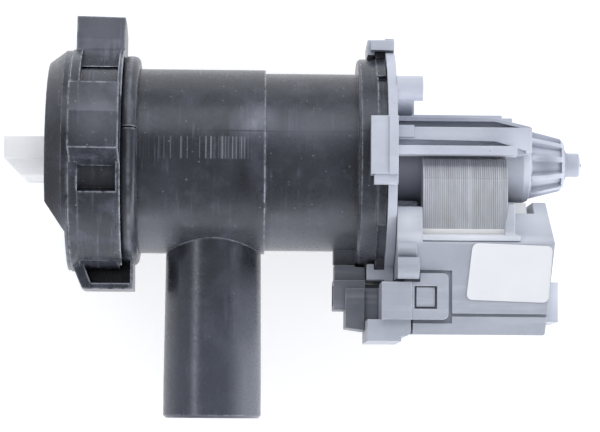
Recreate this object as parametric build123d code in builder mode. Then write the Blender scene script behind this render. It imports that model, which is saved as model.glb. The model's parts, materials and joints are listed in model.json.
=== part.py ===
from build123d import *
import os
from math import cos, radians, sin, sqrt

# Drain pump with a lint filter, lying on its side as on a bench. Sizes are in millimetres.
# X runs along the pump shaft from the filter handle to the motor, Y runs away from the inlet
# spigot, and Z is up. The origin is the centre of the front collar's face, on the shaft's line.
# An angle round the shaft starts at +Z and grows towards +Y.

# Filter tube and front collar
tube_radius = 30.2
plate_front = 102.7
rear_tube_radius = tube_radius - 1.1
tube_wall = 2.8
seam_x = 63.8
collar_radius = tube_radius + 5.8
collar_thickness = 1.1
hood_front = -6.4
hood_radius = tube_radius + 1.8
hood_bevel_x = -1.0
hood_cut_start = (-6.4, -tube_radius + 14.6)
hood_cut_end = (-1.5, -tube_radius + 7.3)
mouth_radius = tube_radius - 1.3
mouth_floor_x = 4.0

# Inlet spigot
inlet_x = 47.2
inlet_root_radius = 15.5
inlet_radius = 15.9
inlet_land = 12.0
inlet_end = tube_radius + 53.7
inlet_bore = 13.2
inlet_bevel = 0.9

# Impeller chamber and outlet spigot
volute_front = plate_front - 9.1
volute_radius = tube_radius + 3.9
volute_step_x = plate_front - 2.8
volute_step_radius = tube_radius + 3
volute_bevel = 0.8
chamber_radius = tube_radius + 0.8
chamber_front = plate_front - 8.5
filter_wall = 2.4
eye_radius = 9.5
outlet_x = plate_front - 9.6
outlet_y = chamber_radius - 9.6
outlet_start = 16.0
outlet_root_radius = 9.4
outlet_radius = 9.2
outlet_bore = 7.2
outlet_land = 16.0
outlet_end = 54.0
outlet_bevel = 0.8
outlet_slot_reach = 5.5
outlet_slot_half = 5.8
foot_rib_x = plate_front - 16.4
foot_rib_bottom = -tube_radius - 3.3
foot_rib_half = 4.0

# Motor plate and its bayonet claws
plate_thickness = 2.9
plate_radius = tube_radius + 6.3
claw_angles = (3.6, 93.6, 183.6, 273.6)
claw_width = 18.5
ear_radius = plate_radius + 3.4
claw_radius = plate_radius + 2.9
claw_wall = 3.2
claw_front = plate_front - 5.7
claw_hook_length = 2.3
claw_hook_depth = 1.8
claw_gap = 0.3
stop_width = 3.0
stop_drop = 0.7
stop_front = plate_front - 4.7
entry_offset = 46.0
entry_arc = 36.0
under_plate = -ear_radius - 0.5

# Mounting ring and its lugs
ring_fit = 0.1
ring_floor = tube_radius + 2.4
ring_rim = tube_radius + 6.2
ring_front_rim = 3.2
ring_rear_rim_x = 16.4
ring_bead_x = 17.8
ring_bead_radius = tube_radius + 3.9
ring_bead_top = 21.2
ring_end = 23.0
ring_end_radius = tube_radius + 1.6
ring_bead_bevel = 0.9
block_start = -20.5
block_arc = 47.0
low_block_arc = 44.0
low_block_drop = 0.4
lug_angles = (14.4, 104.4, 194.4)
lug_closed_half = 12.0
lug_open_half = 9.7
lug_radius = ring_rim + 12.0
lug_draft = 0.4
lug_crown = 1.1
lug_crease = -0.6
lug_flare = 0.9
lug_front = 1.7
lug_rear = 17.6
lug_wall = 1.5
lug_skin = 2.0
low_lug_angle = 270.0
low_lug_radius = ring_rim + 6.1
low_lug_front = 1.3
low_lug_rear = 21.3
low_lug_lean = 3.6
low_lug_wall = 3.8
low_lug_tip_wall = 2.8
low_lug_rear_wall = 0.9
notch_angle = 13.4
notch_width = 0.5

# Filter cap and basket
cap_gap = 0.3
cap_flange = 3.8
cap_seat_gap = 0.2
plug_end = 12.5
groove_x = 8.2
seal_section = 1.3
groove_slack = 0.2
handle_front = -20.3
handle_top = 6.2
handle_bottom = -6.1
handle_corner = -0.9
handle_foot_x = -15.0
handle_half_length = 18.0
handle_step = 2.2
handle_rib = 1.0
basket_end = 60.0
basket_radius = tube_radius - 7.2
basket_bars = 8
basket_bar = 2.2
basket_rings = 2
basket_ring = 2.0

# Rotor and impeller
shaft_radius = 2.0
shaft_play = 0.05
shaft_front = plate_front - 6
shaft_rear = plate_front + 44.7
impeller_front = plate_front - 7.5
impeller_rear = plate_front - 1.5
impeller_radius = 18.6
impeller_hub = 7.4
impeller_blades = 5
blade_thickness = 1.8
blade_gap = 0.8
hub_wall = 1.8
dog_hub = 3.2
dog_reach = 5.3
dog_arc = 40.0
stop_arc = 50.0
dog_gap = 0.3
dog_end_gap = 0.2
magnet_front = plate_front + 10.7
magnet_rear = plate_front + 38.9
magnet_radius = 10.6
bush_radius = 4.5
bush_length = 5.0
bearing_mount_length = 6.0
front_mount_x = plate_front + 1.7
shaft_seal_thickness = 1.4

# Rotor cup, rear drum and support pin
cup_radius = 12.8
cup_wall = 1.6
cup_rear = plate_front + 48.1
cup_floor = 2.4
cup_round = 3.0
cup_round_step = 0.9
drum_rear = plate_front + 58.9
drum_front_radius = 11.1
drum_rear_radius = 8.6
drum_core_share = 0.82
drum_ribs = 10
drum_rib_angle = 7.0
drum_rib = 1.7
drum_cap = 1.0
pin_radius = 3.95
pin_collar = 0.8
pin_end = plate_front + 64.3
gate_radius = 0.6
gate_end = plate_front + 65.1

# Hood over the tips of the core's arms
hood_top = 13.2
hood_skin = 1.2
hood_side = 20.6
hood_slope_x = plate_front + 34.8
hood_end = plate_front + 46.6
hood_end_top = 10.4
spine_top = 15.7
spine_end = plate_front + 38.5
spine_step_top = 14.8
spine_step_end = plate_front + 41.9
spine_half = 5.0
recess_side = 17.2
shelf_top = 9.8
shelf_bottom = 5.8
shelf_side = 23.6
shelf_slope_x = plate_front + 34.8
shelf_end_bottom = 1.8
shelf_pad_end = plate_front + 8.7
shelf_pad = 0.5
ledge_top = 3.4
ledge_bottom = 0.6
ledge_side = 28.5
ledge_end = plate_front + 41.4

# Posts behind the plate
high_post_end = plate_front + 11.3
high_post_y = 22.0
high_post_z = 25.0
high_post_radius = 4.0
low_post_end = plate_front + 8.5
low_post_y = 17.5
low_post_z = 12.5
low_post_radius = 3.0

# Stator core
core_front = plate_front + 11.5
core_rear = plate_front + 38.7
sheet_pitch = 0.68
slit = 0.16
slit_depth = 0.3
arm_outer = 26.0
arm_inner = 13.5
arm_tip = 8.4
arm_tip_outer = 19.2
arm_shoulder = -7.1
core_bottom = under_plate - 13.1
yoke_height = 9.5
pole_gap = 0.3

# Coil housing
box_left = plate_front + 3.1
box_step_y = under_plate + 1.3
box_mid_left = plate_front + 6.2
box_step_low_y = under_plate - 5.2
box_low_left = plate_front + 8.1
box_side = 31.2
box_bottom = under_plate - 16.6
box_bottom_draft = 1.9
box_top = -25.0
box_edge = -27.8
box_right = plate_front + 53.2
box_right_low = plate_front + 49.9
box_right_high = plate_front + 52
box_corner = 0.8
gusset_left = plate_front + 39.1
gusset_top = -13.4
gusset_side = 12.8
guide_left = plate_front + 41.8
guide_right = plate_front + 45.8
guide_bottom = -17.3
guide_half = 18.0
guide_slot = 2.0
box_groove_y = under_plate - 9.85
box_groove_width = 1.0
box_groove_depth = 0.8
tail_right = plate_front + 56.7
tail_top = under_plate + 1.4
tail_bottom = under_plate - 11.6
tail_side = 8.0
tail_depth = 28.0
pocket_right = plate_front + 20.5
pocket_top = under_plate + 3.8
pocket_bottom = under_plate - 13.0
pocket_depth = 1.0

# Knuckles beside the plate, on the coil housing's faces
knuckle_left = plate_front + 3.1
top_knuckle_end = plate_front + 11.1
top_knuckle_y = under_plate + 19.6
top_knuckle_radius = 4.7
mid_knuckle_end = plate_front + 9.3
mid_knuckle_y = under_plate + 9.9
mid_knuckle_radius = 2.8
low_knuckle_end = plate_front + 9.9
low_knuckle_y = under_plate + 4.4
low_knuckle_radius = 3.5
low_knuckle_rise = 1.6

# Bobbins and windings
bobbin_fit = 0.15
bobbin_wall = 0.9
bobbin_flange = 1.5
bobbin_flange_reach = 3.1
winding_build = 2.1
winding_fit = 0.1

# Terminal cover with its snap loops
cover_gap = 0.2
cover_left = plate_front - 1.8
cover_back = plate_front + 6
cover_face = plate_front + 7.6
cover_proud = 0.6
cover_right = plate_front + 7.5
cover_top = under_plate
cover_claw_top = under_plate - 1.0
cover_claw_half = 13.4
cover_split = under_plate - 11.9
cover_bottom = under_plate - 18.8
cover_foot_left = plate_front - 6.2
cover_foot_step = plate_front + 4.5
cover_foot_rise = 1.6
cover_foot_depth = 40.0
cover_round = 2.0
loop_right = plate_front + 19.3
loop_top = under_plate + 2.8
loop_thickness = 2.0
window_left = plate_front + 8.5
window_right = plate_front + 15.7
window_top = under_plate - 1.3
window_bottom = under_plate - 8.5
loop_round = 1.8
catch_gap = 0.7

# Connector shell, its socket and the blades
shell_left = plate_front - 16.4
shell_right = plate_front - 1.9
shell_ledge = -volute_radius - 4.8
shell_top = under_plate - 1.1
shell_step_x = plate_front - 12.5
shell_neck_x = plate_front - 5.7
shell_low_left = shell_ledge - 15.5
shell_low_right = shell_ledge - 16.3
shell_lip_bottom = shell_ledge - 9.6
shell_side = 10.0
shell_lip_side = 8.6
shell_wall = 1.3
shell_roof_top = foot_rib_bottom - 0.3
shell_roof_side = 6.0
socket_depth = 10.0
blade_width = 4.8
spade_thickness = 0.8
blade_spacing = 7.0

# Label, left bare
label_left = plate_front + 24.7
label_top = -27.8
label_width = 26.2
label_height = 17.2
label_lean = 2.5
label_tilt = 0.7
label_drop = 1.8
label_corner = 1.6
label_thickness = 0.2

bore_radius = tube_radius - tube_wall
ring_bore = tube_radius + ring_fit
plate_rear = plate_front + plate_thickness
cup_bore = cup_radius - cup_wall
cup_floor_x = cup_rear - cup_floor
bush_bore = shaft_radius + shaft_play
seal_groove_radius = bore_radius - cap_gap - 2 * seal_section - 0.1


def station(x, angle=0.0):
    """Plane square to the shaft at x: its own Y points out from the shaft at this angle."""
    a = radians(angle)
    return Plane(origin=(x, 0, 0), x_dir=(0, cos(a), -sin(a)), z_dir=(1, 0, 0))


def turned(*points, mode=Mode.ADD):
    """Revolve a closed (x, radius) outline about the shaft's line."""
    with BuildSketch(Plane.XY) as outline:
        with BuildLine():
            Polyline(*points, close=True)
        make_face()
    revolve(outline.sketch, axis=Axis.X, mode=mode)


def arc_block(start, arc, *points, mode=Mode.ADD):
    """Sweep a closed (x, radius) outline round the shaft from an angle back through an arc."""
    a = radians(start)
    start_plane = Plane(origin=(0, 0, 0), x_dir=(1, 0, 0), z_dir=(0, -cos(a), sin(a)))
    with BuildSketch(start_plane) as outline:
        with BuildLine():
            Polyline(*points, close=True)
        make_face()
    revolve(outline.sketch, axis=Axis.X, revolution_arc=arc, mode=mode)


def bar(front, rear, angle, *points, mode=Mode.ADD):
    """Extrude a closed (tangential, radial) outline along the shaft, turned to this angle."""
    with BuildSketch(station(front, angle)) as outline:
        with BuildLine():
            Polyline(*points, close=True)
        make_face()
    extrude(outline.sketch, amount=rear - front, dir=(1, 0, 0), mode=mode)


def across(angle, low, high, *points, mode=Mode.ADD):
    """Extrude a closed (x, radial) outline sideways round the shaft, between two offsets."""
    a = radians(angle)
    side_plane = Plane(
        origin=(0, low * cos(a), -low * sin(a)),
        x_dir=(1, 0, 0),
        z_dir=(0, -cos(a), sin(a)),
    )
    with BuildSketch(side_plane) as outline:
        with BuildLine():
            Polyline(*points, close=True)
        make_face()
    extrude(outline.sketch, amount=high - low, dir=(0, cos(a), -sin(a)), mode=mode)


def slab(low, high, *points, mode=Mode.ADD):
    """Extrude a closed (x, y) outline upwards between two heights."""
    with BuildSketch(Plane.XY.offset(low)) as outline:
        with BuildLine():
            Polyline(*points, close=True)
        make_face()
    extrude(outline.sketch, amount=high - low, dir=(0, 0, 1), mode=mode)


def block(x0, x1, y0, y1, z0, z1, mode=Mode.ADD):
    """A box between two corners."""
    slab(z0, z1, (x0, y0), (x1, y0), (x1, y1), (x0, y1), mode=mode)


def rod(front, rear, y, z, radius, mode=Mode.ADD):
    """A cylinder parallel to the shaft."""
    with BuildSketch(Plane(origin=(front, y, z), z_dir=(1, 0, 0))) as section:
        Circle(radius)
    extrude(section.sketch, amount=rear - front, dir=(1, 0, 0), mode=mode)


def save(piece, name):
    """Label a finished piece and write it under its node's name."""
    piece.part.label = name
    export_step(piece.part, f"parts/{name}.step")


os.makedirs("parts", exist_ok=True)

# Pump housing: one moulding with the filter tube, collar, hood, inlet, chamber and outlet
with BuildPart() as pump_housing:
    turned(
        (0, 0),
        (0, collar_radius),
        (collar_thickness, collar_radius),
        (collar_thickness, tube_radius),
        (seam_x, tube_radius),
        (seam_x, rear_tube_radius),
        (volute_front, rear_tube_radius),
        (volute_front, volute_radius - volute_bevel),
        (volute_front + volute_bevel, volute_radius),
        (volute_step_x, volute_radius),
        (volute_step_x, volute_step_radius),
        (plate_front, volute_step_radius),
        (plate_front, 0),
    )
    turned(
        (hood_front, 0),
        (hood_front, hood_radius),
        (hood_bevel_x, collar_radius),
        (0, collar_radius),
        (0, 0),
    )
    # The hood is open below a slanted cut, so that water left in the filter can drain out
    cut_slope = (hood_cut_end[1] - hood_cut_start[1]) / (hood_cut_end[0] - hood_cut_start[0])
    cut_high = hood_cut_start[1] + cut_slope * (hood_front - 1 - hood_cut_start[0])
    cut_low = hood_cut_start[1] + cut_slope * (0 - hood_cut_start[0])
    slab(
        -collar_radius,
        collar_radius,
        (hood_front - 1, cut_high),
        (0, cut_low),
        (0, -collar_radius - 1),
        (hood_front - 1, -collar_radius - 1),
        mode=Mode.SUBTRACT,
    )
    # Inlet spigot, slightly wider at its sealing land
    with BuildSketch(Plane.XY) as inlet_outline:
        with BuildLine():
            Polyline(
                (inlet_x, 0),
                (inlet_x + inlet_root_radius, 0),
                (inlet_x + inlet_root_radius, -tube_radius),
                (inlet_x + inlet_radius, -inlet_end + inlet_land),
                (inlet_x + inlet_radius, -inlet_end + inlet_bevel),
                (inlet_x + inlet_radius - inlet_bevel, -inlet_end),
                (inlet_x, -inlet_end),
                close=True,
            )
        make_face()
    revolve(inlet_outline.sketch, axis=Axis((inlet_x, 0, 0), (0, 1, 0)))
    # Outlet spigot, level with the impeller chamber and tangent to it
    with BuildSketch(Plane.XZ.offset(-outlet_y)) as outlet_outline:
        with BuildLine():
            Polyline(
                (outlet_x, -outlet_start),
                (outlet_x + outlet_root_radius, -outlet_start),
                (outlet_x + outlet_root_radius, -outlet_end + outlet_land + outlet_bevel),
                (outlet_x + outlet_radius, -outlet_end + outlet_land),
                (outlet_x + outlet_radius, -outlet_end + outlet_bevel),
                (outlet_x + outlet_radius - outlet_bevel, -outlet_end),
                (outlet_x, -outlet_end),
                close=True,
            )
        make_face()
    revolve(outlet_outline.sketch, axis=Axis((outlet_x, outlet_y, 0), (0, 0, 1)))
    # Rib under the tube, where the connector shell hangs
    block(
        foot_rib_x,
        volute_front,
        foot_rib_bottom,
        -rear_tube_radius + 0.7,
        -foot_rib_half,
        foot_rib_half,
    )
    # Bayonet lugs under the plate's claws
    for claw_angle in claw_angles:
        half = claw_width / 2 - 1
        top = claw_radius - claw_wall - claw_gap
        bar(
            claw_front + claw_hook_length + claw_gap,
            plate_front,
            claw_angle,
            (-half, chamber_radius + 1),
            (half, chamber_radius + 1),
            (half, top),
            (-half, top),
        )
        entry_start = claw_angle + entry_offset + entry_arc
        arc_block(
            entry_start,
            entry_arc,
            (volute_step_x - 0.5, volute_step_radius - 1),
            (plate_front - 0.2, volute_step_radius - 1),
            (plate_front - 0.2, volute_radius + 0.3),
            (volute_step_x - 0.5, volute_radius + 0.3),
        )
    # Filter chamber, mouth, eye and impeller chamber
    turned(
        (hood_front - 1, 0),
        (hood_front - 1, mouth_radius),
        (mouth_floor_x, mouth_radius),
        (mouth_floor_x, bore_radius),
        (chamber_front - filter_wall, bore_radius),
        (chamber_front - filter_wall, eye_radius),
        (chamber_front, eye_radius),
        (chamber_front, chamber_radius),
        (plate_front, chamber_radius),
        (plate_front, 0),
        mode=Mode.SUBTRACT,
    )
    with BuildSketch(Plane.XZ.offset(inlet_end)) as inlet_hole:
        with Locations((inlet_x, 0)):
            Circle(inlet_bore)
    extrude(inlet_hole.sketch, amount=inlet_end - inlet_bore, dir=(0, 1, 0), mode=Mode.SUBTRACT)
    # The outlet's bore stops outside the filter chamber and opens sideways into the impeller's
    outlet_floor = sqrt(rear_tube_radius**2 - (outlet_y - outlet_bore) ** 2)
    with BuildSketch(Plane.XY.offset(-outlet_end)) as outlet_hole:
        with Locations((outlet_x, outlet_y)):
            Circle(outlet_bore)
    extrude(
        outlet_hole.sketch,
        amount=outlet_end - outlet_floor,
        dir=(0, 0, 1),
        mode=Mode.SUBTRACT,
    )
    block(
        chamber_front,
        outlet_x + outlet_slot_reach,
        outlet_y - outlet_slot_half,
        outlet_y + outlet_slot_half,
        -outlet_floor - 1,
        -chamber_radius / 2,
        mode=Mode.SUBTRACT,
    )
    # Groove for the seal in the face that meets the motor plate
    seal_mid = (chamber_radius + volute_step_radius) / 2
    turned(
        (plate_front - 1.3, seal_mid - 0.6),
        (plate_front - 1.3, seal_mid + 0.6),
        (plate_front, seal_mid + 0.6),
        (plate_front, seal_mid - 0.6),
        mode=Mode.SUBTRACT,
    )
save(pump_housing, "pump_housing")

# Mounting ring: channel with two rims, a filled stretch, hollow lugs and a rear bead


def hollow_lug(angle):
    """A crowned lug, drafted towards its rear, hollow and open on its high-angle side."""
    edge = lug_radius - lug_crown
    with BuildSketch(station(lug_front, angle)) as outline:
        with BuildLine():
            Polyline(
                (-lug_closed_half - lug_flare, ring_floor - 0.6),
                (-lug_closed_half, ring_rim + 2),
                (-lug_closed_half, edge - 1),
                (lug_crease, lug_radius),
                (lug_open_half, edge),
                (lug_open_half, ring_floor - 0.6),
                close=True,
            )
        make_face()
    a = radians(angle)
    slope = Vector(lug_rear - lug_front, -lug_draft * sin(a), -lug_draft * cos(a))
    extrude(outline.sketch, amount=slope.length, dir=slope)
    ceiling = edge - lug_draft - lug_skin
    bar(
        lug_front + lug_wall,
        lug_rear - lug_wall,
        angle,
        (-lug_closed_half + lug_wall, ring_floor),
        (-lug_closed_half + lug_wall, ceiling - 1),
        (0, ceiling),
        (lug_open_half + 1, ceiling),
        (lug_open_half + 1, ring_floor),
        mode=Mode.SUBTRACT,
    )


with BuildPart() as mounting_ring:
    turned(
        (collar_thickness, ring_bore),
        (collar_thickness, ring_rim),
        (collar_thickness + ring_front_rim, ring_rim),
        (collar_thickness + ring_front_rim, ring_floor),
        (ring_rear_rim_x, ring_floor),
        (ring_rear_rim_x, ring_rim),
        (ring_bead_x, ring_rim),
        (ring_bead_x, ring_bead_radius - ring_bead_bevel),
        (ring_bead_x + ring_bead_bevel, ring_bead_radius),
        (ring_bead_top, ring_bead_radius),
        (ring_end, ring_end_radius),
        (ring_end, ring_bore),
    )
    for lug_angle in lug_angles:
        hollow_lug(lug_angle)
    # The low lug's front wall leans back towards its tip
    lean = low_lug_front + low_lug_lean
    across(
        low_lug_angle,
        -lug_open_half,
        lug_open_half,
        (low_lug_front, ring_floor - 1),
        (low_lug_front, ring_rim - 2.5),
        (lean, low_lug_radius),
        (low_lug_rear, low_lug_radius),
        (low_lug_rear, ring_floor - 1),
    )
    across(
        low_lug_angle,
        -lug_open_half + lug_wall,
        lug_open_half + 1,
        (low_lug_front + low_lug_wall, ring_floor),
        (low_lug_front + low_lug_wall, ring_rim - 2.5),
        (lean + low_lug_tip_wall, low_lug_radius - lug_skin),
        (low_lug_rear - low_lug_rear_wall, low_lug_radius - lug_skin),
        (low_lug_rear - low_lug_rear_wall, ring_floor),
        mode=Mode.SUBTRACT,
    )
    # Filled stretch of the channel, running on a little lower into the low lug
    for start, arc, radius in (
        (block_start, block_arc, ring_rim - 0.1),
        (block_start - block_arc + 1, low_block_arc, ring_rim - low_block_drop),
    ):
        arc_block(
            start,
            arc,
            (collar_thickness + 1, ring_floor - 1),
            (ring_rear_rim_x + 0.5, ring_floor - 1),
            (ring_rear_rim_x + 0.5, radius),
            (collar_thickness + 1, radius),
        )
    bar(
        ring_bead_x + 0.4,
        ring_end,
        notch_angle,
        (-notch_width / 2, ring_floor + 0.6),
        (notch_width / 2, ring_floor + 0.6),
        (notch_width / 2, ring_rim),
        (-notch_width / 2, ring_rim),
        mode=Mode.SUBTRACT,
    )
save(mounting_ring, "mounting_ring")

# Filter cap: flange in the mouth, plug with a seal groove, and the bar handle
flange_radius = mouth_radius - cap_gap
plug_radius = bore_radius - cap_gap
flange_rear = mouth_floor_x - cap_seat_gap
flange_front = flange_rear - cap_flange
groove_half = seal_section + groove_slack
with BuildPart() as filter_cap:
    turned(
        (flange_front, 0),
        (flange_front, flange_radius),
        (flange_rear, flange_radius),
        (flange_rear, plug_radius),
        (groove_x - groove_half, plug_radius),
        (groove_x - groove_half, seal_groove_radius),
        (groove_x + groove_half, seal_groove_radius),
        (groove_x + groove_half, plug_radius),
        (plug_end, plug_radius),
        (plug_end, 0),
    )
    # The handle's upper grip reaches furthest, its slanted lower half is set back in two steps
    slab(
        -handle_half_length,
        handle_half_length,
        (flange_front, handle_corner),
        (handle_front, handle_corner),
        (handle_front, handle_top),
        (flange_front, handle_top),
    )
    set_back = handle_half_length - handle_step
    slab(
        -set_back,
        set_back,
        (flange_front, handle_bottom),
        (handle_foot_x, handle_bottom),
        (handle_front, handle_corner),
        (flange_front, handle_corner),
    )
    rib_low = handle_bottom + 1.8
    rib_high = rib_low + 1.6
    rib_x = handle_front + (handle_foot_x - handle_front) * (handle_corner - rib_high) / (
        handle_corner - handle_bottom
    )
    block(
        rib_x + 2,
        flange_front,
        rib_low,
        rib_high,
        -set_back - handle_rib,
        set_back + handle_rib,
    )
save(filter_cap, "filter_cap")

with BuildPart() as filter_seal:
    with BuildSketch(Plane.XY) as seal_section_sketch:
        with Locations((groove_x, bore_radius - cap_gap / 2 - seal_section)):
            Circle(seal_section)
    revolve(seal_section_sketch.sketch, axis=Axis.X)
save(filter_seal, "filter_seal")

# Lint basket: bars between rings, clipped to the cap's plug
with BuildPart() as filter_basket:
    basket_span = basket_end - plug_end - basket_ring
    for i in range(basket_rings):
        ring_x = plug_end + basket_span * i / (basket_rings - 1)
        turned(
            (ring_x, basket_radius - basket_bar),
            (ring_x, basket_radius),
            (ring_x + basket_ring, basket_radius),
            (ring_x + basket_ring, basket_radius - basket_bar),
        )
    for i in range(basket_bars):
        bar(
            plug_end,
            basket_end,
            360 / basket_bars * i,
            (-basket_bar / 2, basket_radius - basket_bar + 0.2),
            (basket_bar / 2, basket_radius - basket_bar + 0.2),
            (basket_bar / 2, basket_radius - 0.3),
            (-basket_bar / 2, basket_radius - 0.3),
        )
save(filter_basket, "filter_basket")

# Impeller: straight blades on a hub whose cavity holds the dog and a stop
cavity_radius = dog_reach + dog_gap
cavity_front = impeller_front + hub_wall
with BuildPart() as impeller:
    turned(
        (impeller_front, 0),
        (impeller_front, impeller_hub - 1),
        (impeller_front + 1, impeller_hub),
        (impeller_rear, impeller_hub),
        (impeller_rear, 0),
    )
    for i in range(impeller_blades):
        bar(
            impeller_front + blade_gap,
            impeller_rear - 0.4,
            360 / impeller_blades * i + 30,
            (-blade_thickness / 2, impeller_hub - 1),
            (blade_thickness / 2, impeller_hub - 1),
            (blade_thickness / 2, impeller_radius),
            (-blade_thickness / 2, impeller_radius),
        )
    turned(
        (cavity_front, 0),
        (cavity_front, cavity_radius),
        (impeller_rear, cavity_radius),
        (impeller_rear, 0),
        mode=Mode.SUBTRACT,
    )
    turned(
        (shaft_front - 0.3, 0),
        (shaft_front - 0.3, bush_bore),
        (cavity_front, bush_bore),
        (cavity_front, 0),
        mode=Mode.SUBTRACT,
    )
    # Stop inside the cavity, on the side opposite the dog
    a = radians(180 + stop_arc / 2)
    stop_plane = Plane(origin=(0, 0, 0), x_dir=(1, 0, 0), z_dir=(0, -cos(a), sin(a)))
    with BuildSketch(stop_plane) as stop:
        with BuildLine():
            Polyline(
                (cavity_front - 0.3, dog_hub + dog_gap),
                (impeller_rear, dog_hub + dog_gap),
                (impeller_rear, cavity_radius + 0.4),
                (cavity_front - 0.3, cavity_radius + 0.4),
                close=True,
            )
        make_face()
    revolve(stop.sketch, axis=Axis.X, revolution_arc=stop_arc)
save(impeller, "impeller")

# Drive dog pressed on the shaft: it turns freely until it meets the impeller's stop
dog_front = cavity_front + dog_end_gap
dog_rear = impeller_rear + dog_end_gap
with BuildPart() as drive_dog:
    turned(
        (dog_front, shaft_radius),
        (dog_front, dog_hub),
        (dog_rear, dog_hub),
        (dog_rear, shaft_radius),
    )
    a = radians(dog_arc / 2)
    dog_plane = Plane(origin=(0, 0, 0), x_dir=(1, 0, 0), z_dir=(0, -cos(a), sin(a)))
    with BuildSketch(dog_plane) as dog:
        with BuildLine():
            Polyline(
                (dog_front, dog_hub - 0.5),
                (impeller_rear, dog_hub - 0.5),
                (impeller_rear, dog_reach),
                (dog_front, dog_reach),
                close=True,
            )
        make_face()
    revolve(dog.sketch, axis=Axis.X, revolution_arc=dog_arc)
save(drive_dog, "drive_dog")

with BuildPart() as rotor_shaft:
    turned(
        (shaft_front, 0),
        (shaft_front, shaft_radius - 0.3),
        (shaft_front + 0.3, shaft_radius),
        (shaft_rear - 0.3, shaft_radius),
        (shaft_rear, shaft_radius - 0.3),
        (shaft_rear, 0),
    )
save(rotor_shaft, "rotor_shaft")

with BuildPart() as rotor_magnet:
    turned(
        (magnet_front, shaft_radius),
        (magnet_front, magnet_radius - 0.6),
        (magnet_front + 0.6, magnet_radius),
        (magnet_rear - 0.6, magnet_radius),
        (magnet_rear, magnet_radius - 0.6),
        (magnet_rear, shaft_radius),
    )
save(rotor_magnet, "rotor_magnet")

# Bearings: a bush at each end, each in a rubber ring, with a lip seal in front
front_mount_rear = front_mount_x + bearing_mount_length
rear_mount_rear = cup_floor_x
rear_mount_x = rear_mount_rear - bearing_mount_length
for name, start in (
    ("front_bearing", front_mount_rear - bush_length),
    ("rear_bearing", rear_mount_x),
):
    with BuildPart() as bush:
        turned(
            (start, bush_bore),
            (start, bush_radius - 0.4),
            (start + 0.4, bush_radius),
            (start + bush_length - 0.4, bush_radius),
            (start + bush_length, bush_radius - 0.4),
            (start + bush_length, bush_bore),
        )
    save(bush, name)

for name, start in (
    ("front_bearing_mount", front_mount_x),
    ("rear_bearing_mount", rear_mount_x),
):
    with BuildPart() as bearing_mount:
        turned(
            (start, bush_radius),
            (start, cup_bore - 0.6),
            (start + 0.6, cup_bore),
            (start + bearing_mount_length - 0.6, cup_bore),
            (start + bearing_mount_length, cup_bore - 0.6),
            (start + bearing_mount_length, bush_radius),
        )
    save(bearing_mount, name)

with BuildPart() as shaft_seal:
    seal_front = front_mount_x - shaft_seal_thickness
    turned(
        (seal_front, bush_bore),
        (seal_front, cup_bore),
        (front_mount_x, cup_bore),
        (front_mount_x, bush_bore + 1.4),
    )
save(shaft_seal, "shaft_seal")

with BuildPart() as housing_seal:
    with BuildSketch(Plane.XY) as ring_section:
        with Locations((plate_front - 0.55, seal_mid)):
            Circle(0.55)
    revolve(ring_section.sketch, axis=Axis.X)
save(housing_seal, "housing_seal")

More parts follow.
